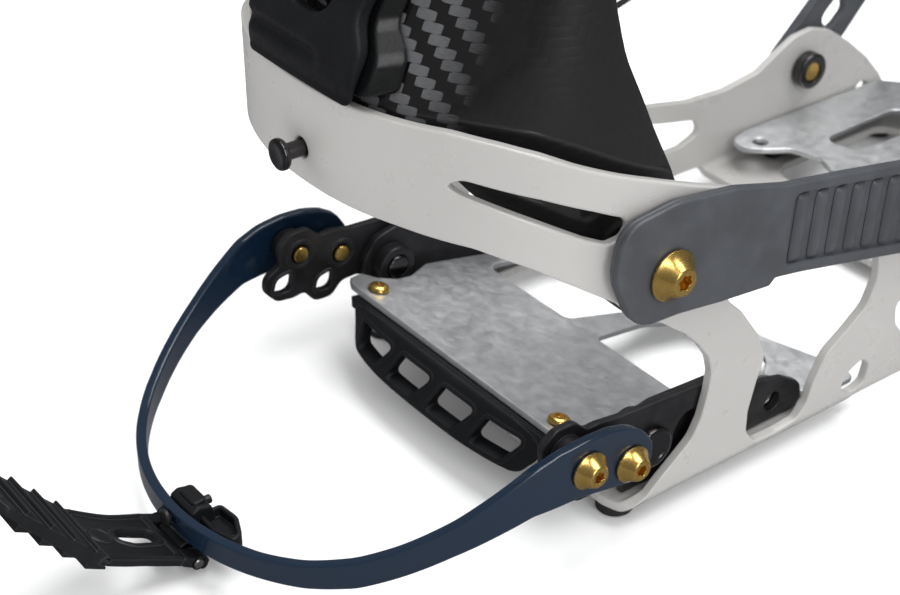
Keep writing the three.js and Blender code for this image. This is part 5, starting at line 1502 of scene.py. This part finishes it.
def build_lean_block():
    """Thick rounded wedge with a window and moulded ring marks; its foot rests on the loop."""
    frame = lean_matrix()
    outer = subdivide_loop(outline([
        (-1.9, -17.6, 2.6), (-1.9, 17.6, 2.6), (9.2, 18.4, 6), (14.4, 15.0, 6), (23, 16.2, 8),
        (38.3, 15.6, 7), (38.3, -15.6, 7), (23, -16.2, 8), (14.4, -15.0, 6),
        (9.2, -18.4, 6)], 3, 12), 1.2)
    window = subdivide_loop(outline([(11.6, -7.6), (11.6, 7.6), (34, 7.0), (34, -7.0)],
                                    6.5, 12), 1.2)

    def to_xyz(up, across, level):
        share = (BLOCK_INNER - level) / BLOCK_DEPTH     # 0 inner, 1 outer
        y = BLOCK_INNER + (block_face(up, across) - BLOCK_INNER) * share
        point = frame @ (Vector((across, y, up)) * MM) / MM
        if point.z < LOOP_REST_Z:
            point.z = LOOP_REST_Z + (point.z - LOOP_REST_Z) * 0.02
        return point
    rows = list(np.arange(-1.4, 12.0, 0.6)) + list(np.arange(12.5, 38, 1.5))
    block = sheet("lean_block_body", outer, [window], BLOCK_OUTER, BLOCK_INNER, 1.5, to_xyz,
                  [(1, list(np.arange(-17.4, 17.5, 0.8))), (0, rows)], steps=6, smooth_angle=44)
    marks = [part(circle(9.0, across, 1.85, 40), [circle(9.0, across, 1.6, 36)], -9.4, -8.02,
                  0.1, to_xyz, steps=2, smooth_angle=40) for across in (0.7, -10.7)]
    for mark in marks:
        cut_away(block, mark)
    return block


def build_lean_base():
    """Smooth side wall of the adjuster, stepping back to the shell round the block."""
    frame = lean_matrix()
    outer = subdivide_loop(outline([
        (0.8, -22.6, 2), (0.8, 22.6, 2), (8.4, 22.4, 5), (14.2, 17.9, 5), (23, 18.8, 7),
        (41.5, 18.2, 7), (41.5, -18.2, 7), (23, -18.8, 7), (14.2, -17.9, 5),
        (8.4, -22.4, 5)], 3, 10), 1.4)
    window = subdivide_loop(outline([(11.2, -8.2), (11.2, 8.2), (36, 7.6), (36, -7.6)],
                                    5.0, 10), 1.4)
    levels = np.linspace(90, 145, 24)
    shell = np.array([[back_point(share, z, -0.5)[:2] for share in np.linspace(0, 0.62, 26)]
                      for z in levels])         # shell[level, share] = x, y

    def to_xyz(up, across, level):
        share = -level                          # 0 on the shell, 1 outer
        narrowed = across * (1 - 0.10 * share)
        point = frame @ (Vector((narrowed, -3.1, up)) * MM) / MM
        column = [float(np.interp(abs(narrowed), row[:, 0], row[:, 1])) for row in shell]
        shell_y = float(np.interp(point.z, levels, column))
        return (point.x, shell_y + (point.y - shell_y) * share, point.z)
    return sheet("lean_base_carrier", outer, [window], -1.0, 0.0, 0.16, to_xyz,
                 [(1, list(np.arange(-22, 22.1, 2.0))), (0, list(np.arange(2, 41, 3.0)))],
                 smooth_angle=44)


def build_lean_screw():
    ob = lathe("lean_screw_turned", [
        (-11.2, 0), (-11.2, 1.6), (-10.7, 1.75), (-10.7, 2.0), (-11.0, 2.3), (-11.1, 3.0),
        (-10.8, 3.9), (-10.2, 4.5), (-9.5, 4.8), (-8.75, 4.8), (-8.6, 4.6), (-8.6, 1.25),
        (1.0, 1.25), (1.0, 0)], 48, "Y", (0, 0, LEAN_SCREW_UP))
    ob.data.transform(lean_matrix())
    return ob


# ---------------------------------------------------------------- straps on the left
# strap arms in strap coordinates: (along, across, corner radius)
ANKLE_ARM = [
    (-13.4, 0, 11), (-9, 12.6, 9), (4, 13, 6), (28, 11.6, 5), (62, 9.4, 5), (66, 0, 5),
    (62, -9.4, 5), (28, -11.6, 5), (4, -13, 6), (-9, -12.6, 9)]
TOE_LINK = [
    (-9.5, 0, 8), (-6, 9.6, 6), (4, 9.8, 5), (18, 10, 4), (34, 8.6, 4), (36, 0, 4),
    (34, -8.6, 4), (18, -10, 4), (4, -9.8, 5), (-6, -9.6, 6)]


def build_arm(name, profile, holes, left, right, strap):
    """Flat arm with a raised rim on its outer, left face."""
    to_xyz = on_strap(strap)
    body = part(profile, holes, left, right, 0.5, to_xyz, steps=4)
    rim = part(profile, [grow(profile, -2.0)], left - 0.35, left + 0.4, 0.3, to_xyz)
    return join_into(name, [body, rim])


def build_ankle_arm():
    holes = [circle(0, 0, 3.4, 36), circle(40, 0, 2.1, 26), circle(50, 0, 2.1, 26)]
    return build_arm("ankle_arm_moulding", outline(ANKLE_ARM, 5, 9), holes, -58.1, -55.5, ANKLE)


def build_toe_link():
    slot = outline([(14, -3.2), (23, -3.2), (23, 3.2), (14, 3.2)], 3, 8)
    holes = [circle(0, 0, 3.2, 34), slot, circle(30.5, 0, 1.9, 26)]
    return build_arm("toe_connector_link", outline(TOE_LINK, 4, 9), holes, -55.4, -53.0, TOE)


SEAMS = (-0.46, 0.46)                           # stitched channels, as shares of half width


def pillow(name, start, end, width, bow, thick, strap):
    """Padded strap: crowned shell pulled in by stitched channels, and the path of its seam."""
    columns, rows = 46, 22
    frame = strap_matrix(strap)
    verts = []
    for i in range(columns + 1):
        t = i / columns
        along = start + (end - start) * t
        for j in range(rows + 1):
            q = -1 + 2 * j / rows
            crown = max(0.0, 1 - abs(q) ** 2.6) ** 0.5 * max(0.0, 1 - abs(2 * t - 1) ** 7) ** 0.5
            channel = 0.0
            for seam in SEAMS:
                channel += math.exp(-((q - seam) / 0.055) ** 2)
            for seam in (0.13, 0.87):
                reach = 1 if abs(q) < 0.8 else 0
                channel += 0.8 * math.exp(-((t - seam) / 0.012) ** 2) * reach
            channel = min(1.0, channel)
            wrinkle = (0.16 * math.sin(along * 0.9 + 2.5 * q)
                       * math.exp(-((abs(q) - 0.46) / 0.22) ** 2))
            out = thick * 0.60 * crown * (1 - 0.42 * channel) + wrinkle * crown
            verts.append((bow(t) - out, along, width(t) * q))
            verts.append((bow(t) + thick * 0.32 * crown, along, width(t) * q))
    index, faces, border = two_skins(columns + 1, rows + 1)
    pairs = [(index(*cell, 0), index(*cell, 1)) for cell in border]
    for here, following in zip(pairs, pairs[1:] + pairs[:1]):
        faces.append((*here, *following[::-1]))
    mesh = raw_mesh(name, [(frame @ Vector(v)) * MM for v in verts], faces)
    recalc_normals(mesh, merge=5e-6)
    path = [frame @ Vector((np.array(verts[front]) + np.array(verts[back])) / 2)
            for front, back in pairs]
    return finish_mesh(name, mesh, 75, weighted=False), path


def closed_tube(name, path, radius, seg=10):
    points = [np.array(p) for p in path]
    points = [p for i, p in enumerate(points) if np.linalg.norm(p - points[i - 1]) > 0.15]
    verts = []
    for i, point in enumerate(points):
        verts += ring_around(point, points[i - 1], points[(i + 1) % len(points)], radius, seg)
    rings = rings_of(len(points), seg)
    return mesh_object(name, np.array(verts) * MM, skin_rings(rings + rings[:1]), 60, False)


def stitches(name, path):
    """Row of short thread stitches along a path, one mesh."""
    step, length, radius, lift, seg = 2.6, 1.7, 0.28, 0.12, 6
    arch = ((0, -0.35), (0.2, 0.15), (0.5, 0.3), (0.8, 0.15), (1, -0.35))  # (share, rise)
    path = np.array([list(p) for p in path])
    steps = np.linalg.norm(np.diff(path, axis=0), axis=1)
    arc = np.concatenate([[0], np.cumsum(steps)])
    verts, faces = [], []
    start = 0.6
    while start + length < arc[-1]:
        points = []
        for share, rise in arch:
            at = start + share * length
            point = np.array([np.interp(at, arc, path[:, i]) for i in range(3)])
            point[0] -= (lift + rise * 0.55)
            points.append(point)
        rings = rings_of(len(points), seg, len(verts))
        last = len(points) - 1
        for i, point in enumerate(points):
            thickness = radius * (0.7 if i in (0, last) else 1)
            verts += ring_around(point, points[max(0, i - 1)], points[min(last, i + 1)],
                                 thickness, seg)
        faces += skin_rings(rings) + [tuple(rings[0])[::-1], tuple(rings[-1])]
        start += step
    return mesh_object(name, np.array(verts) * MM, faces, 60, weighted=False)


def read_vertices(mesh, attribute):
    values = np.empty(len(mesh.vertices) * 3)
    mesh.vertices.foreach_get(attribute, values)
    return values.reshape(-1, 3)


def inflate(ob, most):
    """Short cloth run that puffs the padding, with every point's travel capped (mm)."""
    voxel, frames = 2.0, 20
    remesh = ob.modifiers.new("remesh", "REMESH")
    remesh.mode = "VOXEL"
    remesh.voxel_size = voxel * MM
    apply_modifiers(ob)
    mesh = ob.data
    start = read_vertices(mesh, "co")
    cloth = ob.modifiers.new("cloth", "CLOTH")
    settings = cloth.settings
    settings.quality = 4
    settings.mass = 0.2
    settings.tension_stiffness = 22
    settings.compression_stiffness = 22
    settings.shear_stiffness = 12
    settings.bending_stiffness = 4
    settings.use_pressure = True
    settings.uniform_pressure_force = 4.0
    settings.effector_weights.gravity = 0
    cloth.point_cache.frame_start = 1
    cloth.point_cache.frame_end = frames
    for frame in range(1, frames + 1):
        scene.frame_set(frame)
    puffed = evaluated_mesh(ob)
    travel = read_vertices(puffed, "co") - start
    lengths = np.linalg.norm(travel, axis=1)
    kept = np.minimum(1.0, most * MM / np.maximum(lengths, 1e-9))
    ob.modifiers.clear()
    mesh.vertices.foreach_set("co", (start + travel * kept[:, None]).ravel())
    mesh.update()
    bpy.data.meshes.remove(puffed)
    scene.frame_set(1)
    smooth_faces(mesh)


def subdivide(ob):
    modifier = ob.modifiers.new("subdivide", "SUBSURF")
    modifier.levels = 1
    modifier.render_levels = 1
    apply_modifiers(ob)
    smooth_faces(ob.data)


def pull(ob, move):
    """Sculpting pass: move(points, normals) gives the move of every vertex, in mm."""
    mesh = ob.data
    points, normals = read_vertices(mesh, "co") / MM, read_vertices(mesh, "normal")
    mesh.vertices.foreach_set("co", ((points + move(points, normals)) * MM).ravel())
    mesh.update()


def sew_channels(pad, start, end, width, strap):
    """Presses the stitched channels into the cushion's outer face."""
    inverse = strap_matrix(strap).inverted()
    turn, shift = np.array(inverse.to_3x3()), np.array(inverse.translation)

    def move(points, normals):
        local = points @ turn.T + shift
        share = (local[:, 1] - start) / (end - start)
        half = np.array([width(min(1, max(0, t))) for t in share])
        side = local[:, 2] / np.maximum(half, 1)
        groove = np.zeros(len(local))
        for seam in SEAMS:
            groove += np.exp(-((side - seam) * half / 0.9) ** 2) * (np.abs(share - 0.5) < 0.42)
        for seam in (0.15, 0.88):
            groove += (np.exp(-((share - seam) * (end - start) / 0.9) ** 2)
                       * (np.abs(side) < 0.5))
        groove = np.minimum(groove, 1) * 1.15
        # small creases beside the seams
        crease = (0.12 * np.sin(local[:, 1] * 1.15 + 2.0 * side)
                  * np.exp(-((np.abs(side) - 0.62) / 0.2) ** 2))
        outward = np.clip(-(normals @ turn.T)[:, 0] * 1.6, 0, 1)
        return normals * ((-(groove * 0.9) + crease) * outward)[:, None]
    pull(pad, move)


def strap_cushion(name, body, node, strap, start, end, tip_width, swell, stretch, power,
                  tip_x, bow_x, height, most, hole, head_x):
    """Cushion from start to end along the strap, with binding, stitching and a screw tab."""
    def width(t):
        return tip_width + swell * math.sin(math.pi * min(1, stretch * t + 0.02)) ** power

    def bow(t):
        return tip_x - bow_x * math.sin(math.pi * t)
    drawn = height * 0.86                       # drawn thinner, then inflated
    pad, path = pillow(name, start, end, width, bow, drawn, strap)
    inflate(pad, most)
    subdivide(pad)
    sew_channels(pad, start, end, width, strap)
    place(pad, body, node, "fabric")
    binding = closed_tube(name + "_binding", path, 0.95)
    place(binding, body, None, "piping")
    # stitches ride on the padded face, found by rays from the left
    bm = bmesh.new()
    bm.from_mesh(pad.data)
    tree = BVHTree.FromBMesh(bm)
    bm.free()
    frame = strap_matrix(strap)
    for k, seam in enumerate(SEAMS):
        points = []
        for i in range(60):
            t = 0.1 + 0.8 * i / 59
            origin = frame @ Vector((bow(t) - 14, start + (end - start) * t, width(t) * seam))
            hit = tree.ray_cast(origin * MM + AHEAD, Vector((1, 0, 0)))[0]
            if hit:
                points.append((hit - AHEAD) / MM)
        if len(points) > 8:
            row = stitches(f"{name}_stitching_{k + 1}", points)
            place(row, body, None, "thread")
    # moulded tab under the screw
    screw = frame @ Vector((0, hole, 0))
    foot = bow(0.06) + 0.4
    tab = lathe(name + "_screw_tab", [
        (head_x + 0.05, 1.9), (head_x + 0.05, 4.4), (head_x + 0.3, 4.8), (head_x + 1.4, 5.4),
        (foot, 5.8), (foot, 1.9)], 44, at=(0, screw.y, screw.z))
    place(tab, body, None, "smooth")


def build_highback_pad():
    insets = ((4.5, 6.5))
    widest = 0.62
    pad = back_panel("highback_inner_pad", insets, widest, lambda share: 104.6 + 10 * share,
                     lambda share: 212.4 - 20 * (share / widest) ** 3, columns=26, rows=36,
                     rim=1.0, smooth_angle=75)
    inflate(pad, 1.2)
    subdivide(pad)

    def panels(points, normals):
        # two long vertical channels and three cross channels on the inner face
        x, z = points[:, 0], points[:, 2]
        groove = np.zeros(len(points))
        for seam in (-17.5, 17.5):
            distance = x - seam + 0.06 * (z - 150) * np.sign(seam)
            groove += np.exp(-((distance / 1.1) ** 2)) * (z > 112) * (z < 205)
        for seam in (128, 154, 180):
            distance = z - seam - 0.004 * x * x
            groove += np.exp(-((distance / 1.1) ** 2)) * (np.abs(x) < 31)
        inner = np.clip(normals[:, 1] * 1.8, 0, 1)
        return normals * (-1.5 * np.minimum(groove, 1) * inner)[:, None]
    pull(pad, panels)
    return pad


# ---------------------------------------------------------------- buckles
# sections from the buckle's corner: (x, along)
CHEEK = [(0.2, 2), (-6, 6), (-9, 13), (-9, 21), (-5, 25), (0.2, 26)]
LEVER = [(-3.6, 16.6), (-3.4, 20.4), (-7.4, 21.6), (-9.6, 17), (-11.6, 2), (-14.4, -6.5),
         (-12.2, -7.4), (-9.0, 2), (-7.0, 12)]
HINGE = (-6.2, 18.5)
PIN_END = [(0.05, 1.35), (0.05, 2.0), (0.6, 2.0), (0.9, 1.5), (0.9, 0)]   # (beyond, radius)


def place_buckle(prefix, strap, x, start, half, pad_x):
    """Tray with two cheeks, hinge pin, thumb lever, and a patch between buckle and pad."""
    flat, through = on_strap(strap), through_strap(strap)
    body = prefix + "_strap"
    hinge = (x + HINGE[0], start + HINGE[1])
    hole = circle(*hinge, 1.7, 24)

    tray = outline([(start, -half * 0.8), (start + 30, -half * 0.95),
                    (start + 30, half * 0.95), (start, half * 0.8)], 3, 8)
    window = outline(moved([(6, -5), (13, -5), (13, 5), (6, 5)], start, 0), 1.5)
    parts = [part(tray, [window], x - 1.9, x + 0.3, 0.5, flat)]
    cheek = outline(moved(CHEEK, x, start), 2.2, 7)
    small_hole = circle(x - 5.2, start + 11.2, 1.5, 22)
    for low, high in ((half - 2.4, half), (-half, -half + 2.4)):
        parts.append(part(cheek, [hole, small_hole], low, high, 0.45, through))
    place(join_into(prefix + "_buckle_tray", parts), body, prefix + "_buckle_frame",
          "gun")

    profile = [(-half - beyond, radius) for beyond, radius in PIN_END[::-1]]
    profile += [(half + beyond, radius) for beyond, radius in PIN_END]
    pin = lathe(prefix + "_buckle_hinge_pin", profile, 36, "Z", (*hinge, 0))
    frame = strap_matrix(strap)
    frame.translation = frame.translation * MM
    pin.data.transform(frame)
    place(pin, body, prefix + "_buckle_pin", "steel")

    inner = half - 2.9
    parts = [part(outline(moved(LEVER, x, start), 1.6, 7), [hole], -inner, inner, 0.6,
                  through, steps=4)]
    back = [(start - 6.5, x - 14.5), (start + 2, x - 11.7), (start + 17, x - 9.7)]
    for k in range(3):                          # grip ribs
        along = start - 3.4 + k * 2.6
        rib_x = interpolate(back, along)
        rib = outline(moved([(-0.55, -0.5), (-0.55, 0.5), (0.5, 0.8), (0.5, -0.8)], rib_x,
                            along), 0.3, 4)
        parts.append(part(rib, [], -inner + 1.4, inner - 1.4, 0.25, through))
    place(join_into(prefix + "_buckle_thumb_lever", parts), prefix + "_ratchet",
          prefix + "_buckle_lever", "black")

    patch = outline([(start - 3, -half), (start + 33, -half), (start + 33, half),
                     (start - 3, half)], 5, 8)
    place(sheet(prefix + "_buckle_patch", patch, [], x + 0.35, pad_x + 1.6, 0.6, flat), body,
          None, "smooth")


# ---------------------------------------------------------------- put every piece on its body
place(build_base(), "frame", "base_frame", "frame")
place(build_loop(), "frame", "heel_loop", "frame")
place(build_latch_post(), "frame", "latch_post", "gun")
place(build_bail(), "lever", "lever_bail", "navy")

for sign, side in ((1, "right"), (-1, "left")):
    place(cone_bolt("strap_bolt_cone_" + side, STRAP_BOLT, sign,
                    clock=0.3 if sign > 0 else 0.9, **STRAP_CONE),
          "frame", "strap_bolt_" + side, "gold")
    place(nut("strap_nut_ring_" + side, 43.9, 46.0, 3.25, 6.0, STRAP_BOLT, sign),
          "frame", "strap_nut_" + side, "gun")
    place(cone_bolt("toe_bolt_cone_" + side, TOE_BOLT, sign, clock=0.1, **TOE_CONE),
          "frame", "toe_bolt_" + side, "gold")
    place(nut("toe_nut_ring_" + side, 46.2, 49.7, 3.15, 5.4, TOE_BOLT, sign),
          "frame", "toe_nut_" + side, "gun")
    for end, centre, clock in zip(("rear", "front"), BAIL_BOLTS, (0.55, 0.2)):
        place(cone_bolt(f"bail_bolt_cone_{end}_{side}", centre, sign, clock, **BAIL_CONE),
              "lever", f"bail_bolt_{end}_{side}", "gold")
    place(nut("pivot_bush_ring_" + side, 41.4, 45.0, PIVOT_HOLE, 5.2, PIVOT, sign),
          "frame", "pivot_bush_" + side, "black")
    pin = place(build_pivot(sign), "frame", "pivot_pin_" + side, "gun")
    pin.name = "pivot_pin_turned_" + side
    screw = place(build_plate_screw(sign), "frame", "plate_screw_" + side,
                  "gold_z")
    screw.name = "plate_screw_turned_" + side
    for end, y in (("rear", -84.6), ("front", 98.0)):
        disc = place(build_foot_pad(43.6 * sign, y), "frame", f"foot_pad_{end}_{side}",
                     "rubber")
        disc.name = f"foot_pad_disc_{end}_{side}"

for build, stem, body, node, slot, material in (
        (build_lever_plate, "lever_side_plate", "lever", "lever_plate", "black_hardware",
         "black"),
        (build_rail, "side_rail_plate", "frame", "side_rail", "black_hardware", "black"),
        (build_link_lug, "link_lug_plate", "frame", "link_lug", "bare_steel", "steel"),
        (build_toe_spacer, "toe_spacer_block", "frame", "toe_spacer", "dark_plastic", "pad")):
    right = build()
    left = mirrored(right, stem + "_left")
    place(right, body, node + "_right", material)
    place(left, body, node + "_left", material)

for build, body, node, slot, material in (
        (build_latch_block, "lever", "latch_block", "dark_plastic", "pad"),
        (build_latch_screw, "lever", "latch_screw", "black_hardware", "black"),
        (build_latch_pin, "lever", "latch_pin", "bare_steel", "steel"),
        (build_latch_strap, "latch", "latch_strap", "strap_plastic", "latch"),
        (build_heel_plate, "frame", "heel_plate", "bright_plate", "plate"),
        (build_heel_pad, "frame", "heel_pad", "dark_plastic", "pad"),
        (build_toe_plate, "frame", "toe_plate", "bright_plate", "plate"),
        (build_highback, "highback", "highback_shell", "carbon_shell", "carbon"),
        (build_highback_pad, "highback", "highback_pad", "strap_padding", "fabric"),
        (build_lean_base, "highback", "lean_base", "dark_plastic", "smooth"),
        (build_lean_block, "lean_adjuster", "lean_block", "dark_plastic", "bead"),
        (build_lean_screw, "highback", "lean_screw", "dark_metal", "gun"),
        (build_ankle_tongue, "ankle_tongue", "ankle_ladder", "strap_plastic", "strap"),
        (build_toe_tongue, "toe_tongue", "toe_ladder", "strap_plastic", "strap"),
        (build_ankle_arm, "ankle_strap", "ankle_arm", "strap_plastic", "strap"),
        (build_toe_link, "toe_strap", "toe_connector", "strap_plastic", "strap")):
    place(build(), body, node, material)

ANKLE_SCREW, TOE_SCREW = 40, 30.5               # pad screws, along each strap
strap_cushion("ankle_padded_wrap", "ankle_strap", "ankle_pad", ANKLE, start=34, end=132,
              tip_width=9, swell=18, stretch=1.02, power=0.55, tip_x=-61.8, bow_x=6,
              height=5.2, most=1.3, hole=ANKLE_SCREW, head_x=-68.9)
strap_cushion("toe_padded_cap", "toe_strap", "toe_pad", TOE, start=27, end=101,
              tip_width=8, swell=8, stretch=1, power=0.6, tip_x=-58.6, bow_x=4,
              height=4.2, most=1.3, hole=TOE_SCREW, head_x=-64.8)

for prefix, strap, along, profile in (
        ("ankle", ANKLE, ANKLE_SCREW,
         [(-70.2, 0), (-70.2, 2.6), (-70.05, 2.95), (-69.7, 3.2), (-68.9, 3.2), (-68.9, 1.6),
          (-55, 1.6), (-55, 3.0), (-53.9, 2.7), (-53.9, 0)]),
        ("toe", TOE, TOE_SCREW,
         [(-66, 0), (-66, 2.4), (-65.85, 2.75), (-65.5, 3.0), (-64.8, 3.0), (-64.8, 1.5),
          (-52.9, 1.5), (-52.7, 1.3), (-52.7, 0)])):
    centre = strap_matrix(strap) @ Vector((0, along, 0))
    place(lathe(prefix + "_pad_screw_turned", profile, 48, at=(0, centre.y, centre.z)),
          prefix + "_strap", prefix + "_pad_screw", "gun")

place_buckle("ankle", ANKLE, x=-74.8, start=76, half=12.5, pad_x=-72.0)
place_buckle("toe", TOE, x=-68.2, start=56, half=10.5, pad_x=-65.9)

# ---------------------------------------------------------------- floor, light, camera (metres)
FLOOR_HALF, FLOOR_Z = 6, -0.0001
floor = mesh_object("studio_floor", [
    (x * FLOOR_HALF, y * FLOOR_HALF, FLOOR_Z) for x, y in ((-1, -1), (1, -1), (1, 1), (-1, 1))],
    [(0, 1, 2, 3)], 30, False)
floor.data.materials.append(pale_floor("pale_floor"))


def build_world():
    """Even pale tent that is dark in reflections."""
    world = bpy.data.worlds.new("studio")
    scene.world = world
    world.use_nodes = True
    tree = world.node_tree
    background = tree.nodes["Background"]
    background.inputs[0].default_value = (1.0, 1.0, 1.0, 1)
    ray = tree.nodes.new("ShaderNodeLightPath")
    strength = tree.nodes.new("ShaderNodeMapRange")
    strength.inputs["To Min"].default_value = 0.78
    strength.inputs["To Max"].default_value = 0.16
    tree.links.new(ray.outputs["Is Glossy Ray"], strength.inputs["Value"])
    tree.links.new(strength.outputs[0], background.inputs[1])


def area_light(name, at, to, size, power, size_y=None):
    light = bpy.data.lights.new(name, "AREA")
    light.energy = power
    light.size = size
    if size_y:
        light.shape = "RECTANGLE"
        light.size_y = size_y
    ob = bpy.data.objects.new(name, light)
    scene.collection.objects.link(ob)
    ob.location = at
    ob.rotation_euler = (Vector(to) - Vector(at)).to_track_quat("-Z", "Y").to_euler()
    return ob


def build_camera():
    turn, drop = math.radians(52.925), math.radians(32.204)
    look = Vector((-math.sin(turn) * math.cos(drop), math.cos(turn) * math.cos(drop),
                   -math.sin(drop)))
    data = bpy.data.cameras.new("photo_angle")
    camera = bpy.data.objects.new("photo_angle", data)
    scene.collection.objects.link(camera)
    camera.location = (0.28107, -0.270108, 0.24772)
    camera.rotation_euler = look.to_track_quat("-Z", "Y").to_euler()
    data.lens = 72
    data.sensor_width = 36
    data.clip_start = 0.01
    data.dof.use_dof = True
    focus = bpy.data.objects.new("focus_point", None)
    scene.collection.objects.link(focus)
    focus.location = (0.0733, -0.0584, 0.0672)
    data.dof.focus_object = focus
    data.dof.aperture_fstop = 40
    scene.camera = camera


build_world()
area_light("key_softbox", at=(0.10, 0.28, 1.15), to=(0, 0.0, 0.05), size=1.1, power=14,
           size_y=0.8)
area_light("side_strip", at=(1.15, -0.25, 0.75), to=(0, 0.0, 0.08), size=0.35, power=6,
           size_y=1.1)
fill = area_light("left_fill", at=(-1.0, -0.75, 0.7), to=(0, 0, 0.08), size=0.8, power=6)
fill.visible_glossy = False
build_camera()

scene.view_settings.view_transform = "Standard"
scene.view_settings.look = "None"
scene.view_settings.exposure = 0.0
